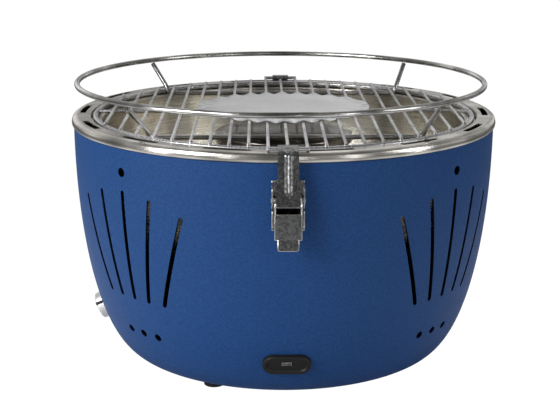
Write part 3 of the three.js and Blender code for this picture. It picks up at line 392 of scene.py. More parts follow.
def vent_cutters():
    """Four fans of five slots, each with a round hole above it and three below."""
    cutters = bmesh.new()
    top_spread, foot_spread, hole_spread = 9.4, 5.5, 5.9
    for group in (-45.5, 48, 132, 225):
        for rank in (-2, -1, 0, 1, 2):
            top_z = rim_top - (40 + 3.2 * rank ** 2) * MM
            base_z = rim_top - 129 * MM
            top = polar(wall_radius(top_z), group + rank * top_spread, top_z)
            base = polar(wall_radius(base_z), group + rank * foot_spread, base_z)
            along = (top - base).normalized()
            level = polar(1, group + rank * (top_spread + foot_spread) / 2, 0)
            out = (level - along * level.dot(along)).normalized()
            turn = Matrix((along, out.cross(along), out)).transposed().to_4x4()
            slot = stadium(cutters, (top - base).length, 3.8 * MM, -12 * MM, 12 * MM)
            bmesh.ops.transform(cutters, matrix=Matrix.Translation((top + base) / 2) @ turn, verts=slot)
        holes = [(group, 26, 3.6)] + [(group + rank * hole_spread, 159, 3.2) for rank in (-1, 0, 1)]
        for azimuth, fall, radius in holes:
            bmesh.ops.create_cone(
                cutters, cap_ends=True, segments=24, radius1=radius * MM, radius2=radius * MM,
                depth=24 * MM, matrix=wall_frame(azimuth, rim_top - fall * MM))
    return cutters


bowl_neck = bowl_top_radius - 1.6 * MM
neck_top = bowl_top + 5 * MM
bowl_profile = (
    [Vector((0, bowl_base))] + wall_line(0)[::-1]
    + rounded([(bowl_top_radius, bowl_top), (bowl_neck, bowl_top), (bowl_neck, neck_top),
               (bowl_neck - bowl_sheet, neck_top), (bowl_neck - bowl_sheet, bowl_top - MM)], 0.3 * MM, 2)
    + wall_line(-bowl_sheet)[1:] + [Vector((0, bowl_base + bowl_sheet))])
bowl_cutters = vent_cutters()
knob_frame = wall_frame(-90, rim_top - 170 * MM)
port_frame = wall_frame(0, rim_top - 168 * MM)
bmesh.ops.create_cone(bowl_cutters, cap_ends=True, segments=24, radius1=4 * MM, radius2=4 * MM, depth=24 * MM,
                      matrix=knob_frame)
port_opening = stadium(bowl_cutters, 32 * MM, 14 * MM, -12 * MM, 12 * MM)
bmesh.ops.transform(bowl_cutters, matrix=port_frame, verts=port_opening)
bowl_shell = combined(turned(bowl_profile, 192, closed=False), bowl_cutters, "DIFFERENCE")
painted_bowl = dressed("painted_bowl", bowl_shell, powder_coat(), "base", ["outer_bowl"],
                       sharp=28)
# The shell's inside faces take the painted shade, so the slots read dark.
painted_bowl.data.materials.append(inside_coat())
for face in painted_bowl.data.polygons:
    spot = face.center
    height = min(max(spot.z, bowl_base), bowl_top)
    depth = wall_radius(height) - math.hypot(spot.x, spot.y)
    face.material_index = int(depth > 0.2 * MM and spot.z > bowl_base + 0.4 * MM)

# Rim ring: rolled stainless sheet that caps the painted wall, with a ring of arc slots that let the air
# out, and a step inside for the lift-out bowl.


def round_axis(tree, place):
    """The distance from the Z axis, (distance, height) for grain, and the direction from the axis."""
    split = tree.nodes.new("ShaderNodeSeparateXYZ")
    tree.links.new(place, split.inputs["Vector"])
    level = tree.nodes.new("ShaderNodeCombineXYZ")
    tree.links.new(split.outputs["X"], level.inputs["X"])
    tree.links.new(split.outputs["Y"], level.inputs["Y"])
    distance = tree.nodes.new("ShaderNodeVectorMath")
    distance.operation = "LENGTH"
    tree.links.new(level.outputs["Vector"], distance.inputs[0])
    grain = tree.nodes.new("ShaderNodeCombineXYZ")
    tree.links.new(distance.outputs["Value"], grain.inputs["X"])
    tree.links.new(split.outputs["Z"], grain.inputs["Y"])
    heading = tree.nodes.new("ShaderNodeVectorMath")
    heading.operation = "NORMALIZE"
    tree.links.new(level.outputs["Vector"], heading.inputs[0])
    return distance.outputs["Value"], grain.outputs["Vector"], heading.outputs["Vector"]


def steel(name, colour, roughness, streak=0.12, grain_scale=900, rings=False, shade=0.86, patches=22,
          edges=(0.3, 0.7)):
    """Stainless steel, brushed, its colour darkened in patches by the shade factor, in rays about the Z axis
    where rings is set, otherwise cloudy: a random tone where shade is near 1, painted reflections where it is
    low.
    """
    material, tree, shader, place = material_with(name, colour, roughness, metallic=1.0)
    along_grain, heading = place, place
    if rings:
        along_grain, heading = round_axis(tree, place)[1:]
    grain = noise(tree, along_grain, grain_scale, detail=4)
    cloud = noise(tree, heading, patches, detail=2)
    tree.links.new(spread(tree, grain, roughness - streak, roughness + streak), shader.inputs["Roughness"])
    # The dark patches are painted reflections where shade is low, and a random tone where it is near 1.
    dark = tuple(channel * shade for channel in colour)
    tree.links.new(two_tones(tree, spread(tree, cloud, 0, 1, *edges), dark, colour),
                   shader.inputs["Base Color"])
    bump(tree, shader, grain, 0.00003)
    return material


# The rim's dark rays about its axis are painted reflections of the studio in the polished band.
rim_steel = steel("polished_rim_steel", (0.84, 0.81, 0.75), 0.22, streak=0.07, rings=True, shade=0.5,
                  patches=4.5, edges=(0.36, 0.6))
rim_tree = rim_steel.node_tree
rim_shader = rim_tree.nodes["Principled BSDF"]
rim_distance = round_axis(rim_tree, rim_tree.nodes["Texture Coordinate"].outputs["Object"])[0]
# Painted shade: inside the flange's inner edge the drop wall and ledge are painted dark brown, for the shade
# in the groove under the grate ring.
step_edge_inside, step_edge_outside = 160.6 * MM, 162.2 * MM
painted_groove_shade = spread(rim_tree, rim_distance, 0, 1, step_edge_inside, step_edge_outside)
rim_tree.links.new(
    two_tones(rim_tree, painted_groove_shade, (0.17, 0.14, 0.11), rim_shader.inputs["Base Color"].links[0].from_socket),
    rim_shader.inputs["Base Color"])
rim_radius = rim_high.x
rim_inner = 162 * MM
ledge_inner = 154 * MM
ledge = rim_top - 5.6 * MM
rim_sheet = MM
rim_tuck = 1.3 * MM
rim_edge = [(rim_radius - rim_tuck, bowl_top + 0.3 * MM), (rim_radius - 0.2 * MM, rim_top - 6.4 * MM),
            (rim_radius, rim_top - 4.3 * MM), (rim_radius - 0.7 * MM, rim_top - 1.7 * MM),
            (rim_radius - 2.2 * MM, rim_top - 0.5 * MM), (rim_radius - 4.6 * MM, rim_top)]
rim_edge_inside = [(rim_radius - 3 * MM, rim_top - 1.5 * rim_sheet),
                   (rim_radius - 1.6 * MM, rim_top - 2.4 * MM), (rim_radius - rim_sheet, rim_top - 4.3 * MM),
                   (rim_radius - rim_tuck - rim_sheet, bowl_top + 0.3 * MM)]
rim_profile = rounded(rim_edge + [
    (rim_inner, rim_top), (rim_inner - rim_sheet, rim_top - 0.8 * MM), (rim_inner - rim_sheet, ledge),
    (ledge_inner, ledge), (ledge_inner, ledge - rim_sheet), (rim_inner, ledge - rim_sheet),
    (rim_inner, rim_top - 1.5 * rim_sheet)] + rim_edge_inside, 1.8 * MM, 3, closed=True)


def arc_slot(mesh, radius, azimuth, length, width, corner, low, high):
    """A slot with rounded corners, bent about the Z axis."""
    outline = rounded([(-length / 2, -width / 2), (length / 2, -width / 2), (length / 2, width / 2),
                       (-length / 2, width / 2)], corner, 4, closed=True)
    line = []
    for here, ahead in zip(outline, outline[1:] + outline[:1]):
        steps = max(1, round((ahead - here).length / (2 * MM)))
        line += [here.lerp(ahead, k / steps) for k in range(steps)]
    ring = [mesh.verts.new(polar(radius + out, azimuth + math.degrees(along / radius), low))
            for along, out in line]
    extruded(mesh, ring, (0, 0, high - low))


rim_slots = bmesh.new()
for i in range(14):
    arc_slot(rim_slots, 168 * MM, (i + 0.5) * 360 / 14 - 2.4, 36 * MM, 5 * MM, 1.3 * MM,
             rim_top - 3 * MM, rim_top + 3 * MM)
dressed("steel_rim", combined(turned(rim_profile, 192), rim_slots, "DIFFERENCE"), rim_steel,
        "base", ["rim_ring"])

# Inner bowl: spun stainless steel that hangs in the rim and keeps the heat off the painted shell. It is
# brushed in circles, with broad dark rays painted into its colour as reflections, and its floor is open over
# the fan.
inner_low, inner_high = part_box("inner_bowl")
inner_steel = steel("spun_bowl_steel", (0.92, 0.88, 0.79), 0.26, streak=0.06, grain_scale=3200, rings=True,
                    shade=0.52, patches=2.9, edges=(0.43, 0.56))
inner_steel.node_tree.nodes["Principled BSDF"].inputs["Anisotropic"].default_value = 0.6
inner_mouth = 152.5 * MM
inner_floor_radius = 64 * MM
inner_sheet = MM
inner_lip_radius = inner_high.x
inner_lip = ledge + 0.3 * MM


def inner_line(thickness, steps=40):
    """The inner bowl's line from its mouth down to its floor: its underside, or its top a thickness up."""
    line = []
    for i in range(steps + 1):
        u = math.pi / 2 * i / steps
        reach = inner_mouth - inner_floor_radius
        line.append(Vector((
            inner_floor_radius + reach * max(math.cos(u), 0) ** 0.9 - 0.6 * thickness,
            inner_lip - (inner_lip - inner_low.z) * math.sin(u) + thickness)))
    return line


fire_hole = 30 * MM
inner_profile = (
    rounded([(inner_mouth, inner_lip - 0.2 * MM), (inner_lip_radius, inner_lip - 0.1 * MM),
             (inner_lip_radius, inner_lip + inner_sheet),
             (inner_mouth - inner_sheet, inner_lip + inner_sheet),
             inner_line(inner_sheet)[2]], 1.2 * MM, 4)
    + inner_line(inner_sheet)[3:]
    + [Vector((fire_hole, inner_low.z + inner_sheet)), Vector((fire_hole, inner_low.z))]
    + inner_line(0)[:0:-1])
finished("spun_inner_bowl", turned(inner_profile, 160), inner_steel, "base", ["inner_bowl"])

# Charcoal lid: a pressed steel cap over the basket, polished on top and blued a little by the heat, with dark
# rays painted into its colour as reflections.
lid_low, lid_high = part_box("charcoal_lid")
lid_steel = steel("heat_tinted_lid_steel", (0.60, 0.56, 0.51), 0.16, streak=0.05, rings=True, shade=0.35,
                  patches=2.2, edges=(0.4, 0.6))
lid_radius = lid_high.x
lid_profile = [Vector((0, lid_high.z))] + rounded([
    (20 * MM, lid_high.z), (lid_radius - 7 * MM, lid_high.z), (lid_radius - 6 * MM, lid_high.z - 1.4 * MM),
    (lid_radius, lid_high.z - 2 * MM), (lid_radius, lid_low.z), (lid_radius - 0.9 * MM, lid_low.z),
    (lid_radius - 0.9 * MM, lid_high.z - 2.9 * MM), (lid_radius - 6.5 * MM, lid_high.z - 2.4 * MM),
    (lid_radius - 7.5 * MM, lid_high.z - MM), (20 * MM, lid_high.z - MM)], 0.8 * MM, 3)
lid_profile.append(Vector((0, lid_high.z - MM)))
finished("pressed_charcoal_lid", turned(lid_profile, 128, closed=False), lid_steel, "base",
         ["charcoal_lid"])

# Grate: round bars welded across a ring, with one cross wire under them, and a short rod at the front and
# at the back that the latches hook over. The wire is electropolished, so it is pale and satin.
# The wire's darker patches are painted reflections along it.
wire_finish = steel("electropolished_wire", (0.80, 0.80, 0.82), 0.3, streak=0.08, grain_scale=500, shade=0.6,
                    patches=16, edges=(0.4, 0.6))
bar_pitch = 14.2 * MM
bar_radius = 1.25 * MM
bar_z = rim_top + 1.7 * MM
ring_radius = 157.3 * MM
ring_wire = 2.1 * MM
ring_z = rim_top - 1.5 * MM
bar_end_radius = 158.6 * MM
rod_y = 171.5 * MM
rod_z = rim_top + 1.9 * MM
rod_radius = 1.5 * MM
cross_radius = 1.4 * MM
cross_z = bar_z - bar_radius - cross_radius + 0.2 * MM


def straight_wire(mesh, start, end, radius, segments=16):
    """A straight round wire with softly rounded ends."""
    along = Vector(end) - Vector(start)
    turn = along.to_track_quat("Z", "Y").to_matrix().to_4x4()
    matrix = Matrix.Translation((Vector(start) + Vector(end)) / 2) @ turn
    made = bmesh.ops.create_cone(mesh, cap_ends=True, segments=segments, radius1=radius, radius2=radius,
                                 depth=along.length, matrix=matrix)["verts"]
    caps = {face for vert in made for face in vert.link_faces if len(face.verts) == segments}
    edges = list({edge for face in caps for edge in face.edges})
    bmesh.ops.bevel(mesh, geom=edges, offset=radius * 0.45, offset_type="OFFSET", segments=3, profile=0.5,
                    affect="EDGES", material=-1)


def wire_hoop(mesh, radius, wire, middle, segments=192, sides=16):
    """A hoop of round wire lying level about a middle point."""
    start = Matrix.Translation(Vector(middle) + Vector((radius, 0, 0)))
    section = bmesh.ops.create_circle(mesh, segments=sides, radius=wire,
                                      matrix=start @ Matrix.Rotation(math.pi / 2, 4, "X"))
    verts = section["verts"]
    edges = list({edge for vert in verts for edge in vert.link_edges})
    bmesh.ops.spin(mesh, geom=verts + edges, cent=middle, axis=(0, 0, 1), dvec=(0, 0, 0),
                   angle=math.tau, steps=segments, use_merge=True)
    bmesh.ops.remove_doubles(mesh, verts=mesh.verts, dist=1e-7)


def weld_bead(mesh, spot, size):
    """A small melted bead where two wires meet."""
    squash = Matrix.Diagonal((1, 1, 0.7, 1))
    bmesh.ops.create_icosphere(mesh, subdivisions=2, radius=size, matrix=Matrix.Translation(spot) @ squash)


grate = bmesh.new()
wire_hoop(grate, ring_radius, ring_wire, (0, 0, ring_z))
for rank in range(-10, 11):
    x = rank * bar_pitch
    reach = rod_y if abs(rank) == 1 else math.sqrt(bar_end_radius ** 2 - x ** 2)
    straight_wire(grate, (x, -reach, bar_z), (x, reach, bar_z), bar_radius)
    ring_y = math.sqrt(ring_radius ** 2 - x ** 2)
    for side in (-1, 1):
        weld_bead(grate, Vector((x, side * ring_y, bar_z - 1.2 * MM)), 1.9 * MM)
for side in (-1, 1):
    straight_wire(grate, (-bar_pitch - bar_radius, side * rod_y, rod_z),
                  (bar_pitch + bar_radius, side * rod_y, rod_z), rod_radius)
straight_wire(grate, (-ring_radius, 0, cross_z), (ring_radius, 0, cross_z), cross_radius)
finished("wire_grate", grate, wire_finish, "base", ["grate"], sharp=50)

# Drip plate: a thin steel disc pressed on top of the bars over the fire. Its edge sags a little between
# the bars, so it is wavy there and flat in the middle.
plate_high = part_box("drip_plate")[1]
plate_steel = steel("satin_plate_steel", (0.93, 0.93, 0.94), 0.34, streak=0.08)
plate_tree = plate_steel.node_tree
plate_shader = plate_tree.nodes["Principled BSDF"]
plate_place = plate_tree.nodes["Texture Coordinate"].outputs["Object"]
plate_radius = plate_high.x
plate_edge = spread(plate_tree, round_axis(plate_tree, plate_place)[0], 0, 1,
                    plate_radius - 16 * MM, plate_radius - 4 * MM)
# Grey-blue mottling in the colour towards the plate's edge, where the sheet is wavy.
plate_edge_mottle = plate_tree.nodes.new("ShaderNodeMath")
plate_edge_mottle.operation = "MULTIPLY"
plate_tree.links.new(plate_edge, plate_edge_mottle.inputs[0])
plate_tree.links.new(spread(plate_tree, noise(plate_tree, plate_place, 130, detail=3), 0, 0.85, 0.46, 0.62),
                     plate_edge_mottle.inputs[1])
plate_tree.links.new(
    two_tones(plate_tree, plate_edge_mottle.outputs["Value"],
              plate_shader.inputs["Base Color"].links[0].from_socket, (0.40, 0.44, 0.50)),
    plate_shader.inputs["Base Color"])
bump(plate_tree, plate_shader, noise(plate_tree, plate_place, 60, detail=1), 0.0004, 0.6)
plate_sheet = 0.7 * MM
plate_sag = 2.1 * MM
plate_wave_reach = 22 * MM


def plate_point(radius, angle, z):
    """A point of the plate at a radius and an angle, with the sag between the bars near its edge."""
    x, y = radius * math.cos(angle), radius * math.sin(angle)
    edge = max(0, 1 - (plate_radius - radius) / plate_wave_reach) ** 2
    between = 0.5 - 0.5 * math.cos(math.tau * x / bar_pitch)
    steep = abs(y) / max(radius, MM)
    return Vector((x, y, z - plate_sag * edge * between * steep))


plate_rings = 48
plate = turned([(0, plate_high.z)] + [(plate_radius * k / plate_rings, plate_high.z)
                                      for k in range(1, plate_rings + 1)], 288, closed=False)
for vert in plate.verts:
    angle, radius = math.atan2(vert.co.y, vert.co.x), math.hypot(vert.co.x, vert.co.y)
    vert.co = plate_point(radius, angle, plate_high.z)
bmesh.ops.recalc_face_normals(plate, faces=plate.faces)
if next(iter(plate.faces)).normal.z < 0:
    bmesh.ops.reverse_faces(plate, faces=plate.faces)
bmesh.ops.solidify(plate, geom=plate.faces, thickness=plate_sheet)
if max(vert.co.z for vert in plate.verts) > plate_high.z + 0.1 * MM:
    bmesh.ops.translate(plate, verts=plate.verts, vec=(0, 0, -plate_sheet))
finished("wavy_drip_plate", plate, plate_steel, "base", ["drip_plate"])

# Guard ring and its brackets: a hoop of thicker wire that keeps food on the grate, carried by two wires
# that run under the bars and turn up and out at both ends.
guard_low, guard_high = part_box("guard_ring")
guard_wire = 2.25 * MM
guard_middle = (guard_low + guard_high) / 2
guard_middle.z = guard_high.z - guard_wire
guard_radius = guard_high.x - guard_middle.x - guard_wire
hoop = bmesh.new()
wire_hoop(hoop, guard_radius, guard_wire, guard_middle, segments=224)
# The hoop and bracket wire's darker patches are painted reflections.
hoop_finish = steel("polished_hoop_wire", (0.80, 0.79, 0.77), 0.2, streak=0.06, grain_scale=600, shade=0.45,
                    patches=26, edges=(0.42, 0.58))
finished("guard_hoop", hoop, hoop_finish, "base", ["guard_ring"], sharp=50)


def bent_wire(mesh, corners, radius, bend, sides=14):
    """A round wire through corners that are bent to an even curve."""
    line = rounded(corners, bend, steps=6)
    previous = None
    for i, spot in enumerate(line):
        ahead = line[min(i + 1, len(line) - 1)] - line[max(i - 1, 0)]
        turn = ahead.to_track_quat("Z", "Y").to_matrix().to_4x4()
        ring = bmesh.ops.create_circle(mesh, segments=sides, radius=radius,
                                       matrix=Matrix.Translation(spot) @ turn)["verts"]
        edges = list({edge for vert in ring for edge in vert.link_edges})
        if previous:
            bmesh.ops.bridge_loops(mesh, edges=previous + edges)
        else:
            mesh.faces.new(ring)
        previous = edges
    mesh.faces.new(ring)


bracket_wire = 2 * MM
bracket_z = bar_z - bar_radius - 0.75 * MM - bracket_wire
bracket_azimuth = 43.8
for side, name in ((-1, "front"), (1, "rear")):
    bracket = bmesh.new()
    arms = []
    for hand in (-1, 1):
        tip = polar(guard_radius, hand * bracket_azimuth, guard_middle.z - guard_wire - 0.6 * bracket_wire)
        arms.append([Vector((tip.x + guard_middle.x, side * abs(tip.y), tip.z)),
                     Vector((hand * 106.2 * MM, side * 107.5 * MM, bracket_z + 6 * MM)),
                     Vector((hand * 104 * MM, side * 106 * MM, bracket_z))])
    bent_wire(bracket, arms[0] + arms[1][::-1], bracket_wire, 6 * MM)
    finished(f"{name}_guard_bracket", bracket, hoop_finish, "base",
             [f"guard_bracket_{name}"], sharp=50)

# Latches, one at the front and one at the back. Each base is a steel plate riveted to the bowl, with two
# ears folded out on each side. They are stamped and plated, and every fold's bevel takes a brighter steel, a
# painted highlight.
# The plated sheet's fine dark mottle is painted reflection, for a dark mirror.
latch_steel = steel("plated_latch_steel", (0.42, 0.425, 0.43), 0.12, streak=0.05, grain_scale=900, shade=0.5,
                    patches=420, edges=(0.36, 0.66))
painted_highlight_edge_steel = steel("painted_highlight_latch_edge_steel", (0.86, 0.85, 0.83), 0.24, streak=0.05, grain_scale=900)
latch_low, latch_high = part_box("front_latch_base")
plate_out = latch_high.y - 1.2 * MM
ear_out = latch_low.y
pivot = Vector((0, ear_out + 2.6 * MM, rim_top - 33 * MM))
crank_angle = math.radians(60)
strap_pivot = pivot + Vector((0, -math.sin(crank_angle), -math.cos(crank_angle))) * 6.5 * MM


def slab(mesh, outline, x_low, x_high):
    """A flat (y, z) outline given its width along X."""
    extruded(mesh, [mesh.verts.new((x_low, y, z)) for y, z in outline], (x_high - x_low, 0, 0))


def bevelled(piece, width, segments=2):
    """Softens the piece's folded and cut edges with a bevel modifier, whose bevels take the painted highlight
    edge steel.
    """
    edge = piece.modifiers.new("soft_edges", "BEVEL")
    edge.width, edge.segments, edge.limit_method = width, segments, "ANGLE"
    edge.angle_limit = math.radians(55)
    edge.harden_normals = False
    # The bevels take a brighter steel: a painted highlight along every fold and cut edge.
    piece.data.materials.append(painted_highlight_edge_steel)
    edge.material = 1


def both_ends(name, mesh, material, bodies, nodes, width):
    """A latch piece at the front, and the same piece turned half round at the back."""
    bmesh.ops.recalc_face_normals(mesh, faces=mesh.faces)
    for side, body, node in (("front", bodies[0], nodes[0]), ("rear", bodies[1], nodes[1])):
        if side == "rear":
            bmesh.ops.rotate(mesh, verts=mesh.verts, cent=(0, 0, 0), matrix=Matrix.Rotation(math.pi, 3, "Z"))
        data = bpy.data.meshes.new(f"{side}_{name}")
        mesh.to_mesh(data)
        bevelled(dressed(f"{side}_{name}", data, material, body, [node]), width)
    mesh.free()


base = bmesh.new()
latch_half = latch_high.x
slab(base, [(latch_high.y, latch_low.z), (plate_out, latch_low.z), (plate_out, latch_high.z),
            (latch_high.y, latch_high.z)], -latch_half, latch_half)
for hand in (-1, 1):
    edges_x = sorted((hand * (latch_half - 1.2 * MM), hand * latch_half))
    slab(base, rounded([
        (plate_out + 0.4 * MM, rim_top - 38 * MM), (ear_out, rim_top - 36.5 * MM),
        (ear_out, rim_top - 24.5 * MM), (plate_out - 2 * MM, rim_top - 21.6 * MM),
        (plate_out + 0.4 * MM, rim_top - 20.8 * MM)],
        2 * MM, 4, closed=True), *edges_x)
    slab(base, rounded([
        (plate_out + 0.4 * MM, latch_low.z + MM), (pivot.y - MM, latch_low.z + 3 * MM),
        (pivot.y - MM, rim_top - 41 * MM), (plate_out + 0.4 * MM, rim_top - 40 * MM)],
        2 * MM, 4, closed=True), *edges_x)
both_ends("latch_plate", base, latch_steel, ("base", "base"),
          ("front_latch_base", "rear_latch_base"), 0.4 * MM)

# Latch levers: a stamped channel that turns on a pin in the base's ears, with a finger tongue at its foot.
lever_low, lever_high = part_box("front_latch_lever")
lever_half = lever_high.x
lever_sheet = MM
lever_face = -187.4 * MM
lever_top = rim_top - 42 * MM
tongue_lean = 2.2 * MM
lever_end = lever_low.z + 7.5 * MM
tongue_half = 7.75 * MM
lever = bmesh.new()
face_out = lever_face - lever_sheet
side_line = [
    (pivot.y + 3.2 * MM, pivot.z - MM), (pivot.y + 2.2 * MM, pivot.z + 2.2 * MM),
    (pivot.y - 0.6 * MM, pivot.z + 3.1 * MM), (strap_pivot.y - MM, strap_pivot.z + 2.6 * MM),
    (strap_pivot.y - 2.2 * MM, strap_pivot.z), (face_out, lever_top), (face_out, lever_end),
    (face_out + 3 * MM, lever_end), (pivot.y - MM, lever_top - 6 * MM),
    (pivot.y + 2.4 * MM, pivot.z - 4 * MM)]
for hand in (-1, 1):
    slab(lever, rounded(side_line, 0.8 * MM, 2, closed=True),
         *sorted((hand * (lever_half - lever_sheet), hand * lever_half)))
bmesh.ops.create_cube(lever, size=1, matrix=Matrix.Translation(
    (0, lever_face - lever_sheet / 2, (lever_end + lever_top) / 2))
    @ Matrix.Diagonal((2 * lever_half, lever_sheet, lever_top - lever_end, 1)))
tongue_corners = [(-tongue_half, lever_end + MM), (-tongue_half, lever_low.z), (tongue_half, lever_low.z),
                  (tongue_half, lever_end + MM)]
tongue_line = rounded(tongue_corners, 2.4 * MM, 5)
extruded(lever, [lever.verts.new((x, lever_face, z)) for x, z in tongue_line], (0, -lever_sheet, 0))
for vert in lever.verts:
    if vert.co.z < lever_end - 0.01 * MM:
        vert.co.y -= tongue_lean * min(1, (lever_end - vert.co.z) / (lever_end - lever_low.z))
both_ends("latch_lever_plate", lever, latch_steel, ("front_lever", "rear_lever"),
          ("front_latch_lever", "rear_latch_lever"), 0.42 * MM)

# Latch straps: sheet that curls round a pin in the lever, runs up the bowl and hooks over the grate's rod.
# A channel with a pointed foot is pressed down its middle to stiffen it.
strap_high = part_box("front_latch_strap")[1]
strap_half = strap_high.x
strap_top_half = strap_half - 0.9 * MM
strap_sheet = MM
curl = 2.1 * MM
roof = rod_z + rod_radius + 0.4 * MM
hook_lip = -(rod_y - rod_radius - 3.5 * MM)
strap_face = strap_pivot.y - curl
shoulder = Vector((-184.6 * MM, rim_top + 1.2 * MM))
curl_points = [Vector((strap_pivot.y + (curl - strap_sheet / 2) * math.cos(angle),
                       strap_pivot.z + (curl - strap_sheet / 2) * math.sin(angle)))
               for angle in (math.radians(step) for step in range(-40, -170, -18))]
strap_line = curl_points + rounded([
    (strap_face + 0.7 * MM, strap_pivot.z + 0.5 * MM), (shoulder.x + strap_sheet / 2, shoulder.y - 1.4 * MM),
    (shoulder.x + 1.4 * MM, shoulder.y - 0.3 * MM), (-rod_y - 4 * MM, roof + strap_sheet / 2),
    (hook_lip - strap_sheet / 2, roof + strap_sheet / 2),
    (hook_lip - strap_sheet / 2, strap_high.z - 3.4 * MM)],
    1.2 * MM, 4)
filled_line = []
for here, ahead in zip(strap_line, strap_line[1:]):
    steps = max(1, round((ahead - here).length / (1.2 * MM)))
    filled_line += [here.lerp(ahead, k / steps) for k in range(steps)]
filled_line.append(strap_line[-1])
columns = 36
strap = bmesh.new()
bmesh.ops.create_grid(strap, x_segments=columns, y_segments=len(filled_line) - 1, size=0.5)
rib_foot, rib_half, rib_rise = rim_top - 30.5 * MM, 2.6 * MM, 0.7 * MM
for vert in strap.verts:
    across = vert.co.x * 2
    row = round((vert.co.y + 0.5) * (len(filled_line) - 1))
    y, z = filled_line[row]
    half = strap_half if z < rim_top - 19 * MM or row < len(curl_points) else strap_top_half
    x = across * half
    reach = min(1, max(0, (z - rib_foot) / (4.5 * MM))) if row >= len(curl_points) else 0
    fade = min(1, max(0, (shoulder.y + 1.5 * MM - z) / (2 * MM)))
    width = max(rib_half * reach, 1e-6)
    ridge = max(0, 1 - (abs(x) / width) ** 2)
    groove = max(0, 1 - abs(x) / (0.9 * MM))
    vert.co = (x, y - (rib_rise * ridge ** 0.6 - 0.5 * rib_rise * groove) * reach * fade, z)
bmesh.ops.recalc_face_normals(strap, faces=strap.faces)
bmesh.ops.solidify(strap, geom=strap.faces, thickness=strap_sheet)
both_ends("latch_hook_strap", strap, latch_steel, ("front_strap", "rear_strap"),
          ("front_latch_strap", "rear_latch_strap"), 0.3 * MM)

# Pins and rivets of the latches, and every screw: turned steel, a little duller than the sheet round it.
fastener_steel = steel("turned_fastener_steel", (0.62, 0.61, 0.59), 0.3, streak=0.08, grain_scale=1600)


def coated(material, *nodes):
    """CAD pieces whose own shape is finished take the material."""
    for node in nodes:
        piece = bpy.data.objects[node]
        piece.data.materials.clear()
        piece.data.materials.append(material)


coated(fastener_steel, *[f"{side}_latch_{part}" for side in ("front", "rear")
                         for part in ("pivot_pin", "strap_pin", "rivet_1", "rivet_2")],
       *[f"{kind}_screw_{i}" for kind in ("fan", "foot") for i in (1, 2, 3)])

# Feet: three moulded rubber bumpers under the base, each with a softened edge and a fine matte grain.


def moulded(name, dark, light, matt, grain_scale, relief, detail=2):
    """A moulded or lacquered surface, with a fine grain in its colour, its gloss and its relief."""
    material, tree, shader, place = material_with(name, dark, matt[0])
    grain = noise(tree, place, grain_scale, detail)
    tree.links.new(two_tones(tree, spread(tree, grain, 0, 1), dark, light), shader.inputs["Base Color"])
    tree.links.new(spread(tree, grain, *matt), shader.inputs["Roughness"])
    bump(tree, shader, grain, relief)
    return material


rubber = moulded("moulded_black_rubber", (0.006, 0.006, 0.007), (0.013, 0.013, 0.014), (0.62, 0.85), 1400,
                 0.00008)
for number in (1, 2, 3):
    foot_low, foot_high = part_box(f"foot_{number}")
    middle = (foot_low + foot_high) / 2
    radius = (foot_high.x - foot_low.x) / 2
    screw_room = foot_high.z - 6 * MM
    foot = turned([(0, 0)] + rounded([
        (4 * MM, 0), (radius - 0.2 * MM, 0), (radius, 2 * MM), (radius - MM, foot_high.z),
        (3 * MM, foot_high.z)], 1.4 * MM, 4) + [(3 * MM, screw_room), (0, screw_room)], 48, closed=False)
    bmesh.ops.translate(foot, verts=foot.verts, vec=(middle.x, middle.y, 0))
    finished(f"rubber_foot_{number}", foot, rubber, "base", [f"foot_{number}"])

# Power port: a moulded black bezel with rounded rims round a shallow recess, with a small metal socket in
# the middle of it.
plastic = moulded("textured_black_plastic", (0.004, 0.004, 0.004), (0.016, 0.016, 0.015), (0.34, 0.58), 1500,
                  0.0002, detail=3)
plastic.node_tree.nodes["Principled BSDF"].inputs["Specular IOR Level"].default_value = 0.35
coated(plastic, "fan_housing", "battery_box", "battery_lid")


def stacked(loops):
    """A bmesh skinned over stadium loops of (length, width, height) and closed at both ends."""
    mesh = bmesh.new()
    rings = [stadium_ring(mesh, *loop, steps=12) for loop in loops]
    for low, high in zip(rings, rings[1:]):
        for i, vert in enumerate(low):
            mesh.faces.new((vert, low[(i + 1) % len(low)], high[(i + 1) % len(low)], high[i]))
    mesh.faces.new(rings[0][::-1])
    mesh.faces.new(rings[-1])
    bmesh.ops.recalc_face_normals(mesh, faces=mesh.faces)
    return mesh


bezel = stacked([(length * MM, width * MM, z * MM) for length, width, z in (
    (31, 13, -7), (31, 13, -1.4), (37.4, 17.8, -1.4), (37.4, 17.8, 1.9), (37.1, 17.5, 2.6), (36.2, 16.6, 3.1),
    (35.4, 15.8, 3.2), (32.4, 12.8, 3.2), (31.8, 12.2, 3.05), (29.9, 10.6, 1.75), (29.3, 10.2, 1.6),
    (10.4, 5.2, 1.6), (9.8, 4.6, 1.4), (9.6, 4.4, 0.8), (9.6, 4.4, -6.4))])
bmesh.ops.transform(bezel, matrix=port_frame, verts=bezel.verts)
finished("moulded_port_bezel", bezel, plastic, "base", ["port_bezel"], sharp=24)

cavity_steel = steel("socket_steel", (0.72, 0.71, 0.69), 0.25, grain_scale=2000)
coated(cavity_steel, "usb_socket")

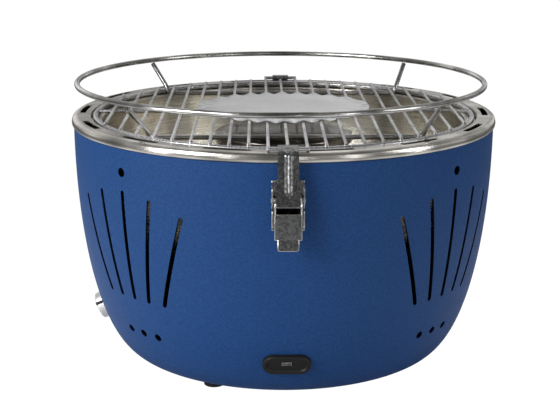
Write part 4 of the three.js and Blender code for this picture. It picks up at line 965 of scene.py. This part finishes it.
# Speed knob: a turned aluminium cap, satin and pale, with a rounded rim and a dark pointer let into its
# side and face.
knob_metal = steel("satin_knob_aluminium", (0.93, 0.93, 0.94), 0.5, streak=0.06, grain_scale=900, shade=0.95)
knob_radius, knob_proud = 11.8 * MM, 8.2 * MM
knob = turned([(0, 0.8 * MM)] + rounded([
    (4 * MM, 0.8 * MM), (knob_radius, 0.8 * MM), (knob_radius, 2 * MM),
    (knob_radius - 0.3 * MM, knob_proud - MM), (knob_radius - 1.2 * MM, knob_proud),
    (8 * MM, knob_proud)], 0.6 * MM, 4)
    + [(7 * MM, knob_proud - 0.3 * MM), (0, knob_proud - 0.3 * MM)], 96, closed=False)
bmesh.ops.transform(knob, matrix=knob_frame, verts=knob.verts)
finished("turned_speed_knob", knob, knob_metal, "knob", ["speed_knob"])
pointer = bmesh.new()
pointer_angle = math.radians(27)
pointer_matrix = (knob_frame @ Matrix.Rotation(pointer_angle, 4, "Z")
                  @ Matrix.Translation((9.45 * MM, 0, 4.6 * MM))
                  @ Matrix.Diagonal((4.9 * MM, 2.7 * MM, 7.4 * MM, 1)))
bmesh.ops.create_cube(pointer, size=1, matrix=pointer_matrix)
bmesh.ops.bevel(pointer, geom=pointer.edges[:], offset=0.3 * MM, offset_type="OFFSET", segments=2,
                profile=0.5, affect="EDGES", material=-1)
finished("dark_knob_pointer", pointer, plastic, "knob", ["speed_knob"])
coated(fastener_steel, "control_shaft", "fan_shaft")

# Fire parts under the grate: ignition pan, slotted charcoal basket, air duct and heat shield, all of
# stainless sheet that has been left with its brushed mill finish.
mill_steel = steel("brushed_fire_steel", (0.60, 0.58, 0.55), 0.32, grain_scale=1200)
coated(mill_steel, "ignition_pan", "charcoal_basket", "air_duct", "heat_shield", "fan_motor")

# Electrics in the base: a moulded fan wheel, the speed control, a small circuit board, four cells in
# printed sleeves, and leads in a red cover.
grey = moulded("moulded_grey_plastic", (0.06, 0.065, 0.07), (0.082, 0.087, 0.093), (0.42, 0.6), 900, 0.00006)
coated(grey, "fan_impeller", "speed_control")

board = moulded("green_board_lacquer", (0.009, 0.07, 0.035), (0.016, 0.11, 0.055), (0.28, 0.42), 420, 0.00005)
coated(board, "circuit_board")

sleeve, sleeve_tree, sleeve_shader, sleeve_place = material_with("printed_cell_sleeve", (0.16, 0.18, 0.2),
                                                                 0.35)
sleeve_bands = noise(sleeve_tree, sleeve_place, 60, stretch=(0.2, 3, 0.2))
sleeve_tone = spread(sleeve_tree, sleeve_bands, 0, 1, 0.47, 0.53)
sleeve_tree.links.new(two_tones(sleeve_tree, sleeve_tone, (0.13, 0.15, 0.17), (0.24, 0.26, 0.28)),
                      sleeve_shader.inputs["Base Color"])
bump(sleeve_tree, sleeve_shader, noise(sleeve_tree, sleeve_place, 800), 0.00003)
coated(sleeve, *[f"battery_cell_{i}" for i in (1, 2, 3, 4)])

cover, cover_tree, cover_shader, cover_place = material_with("red_lead_cover", (0.32, 0.015, 0.015), 0.5)
cover_grain = noise(cover_tree, cover_place, 700)
cover_tree.links.new(two_tones(cover_tree, spread(cover_tree, cover_grain, 0, 1), (0.26, 0.012, 0.012),
                               (0.36, 0.02, 0.02)), cover_shader.inputs["Base Color"])
bump(cover_tree, cover_shader, cover_grain, 0.00005)
coated(cover, "usb_lead", "battery_lead", "control_lead", "motor_lead")
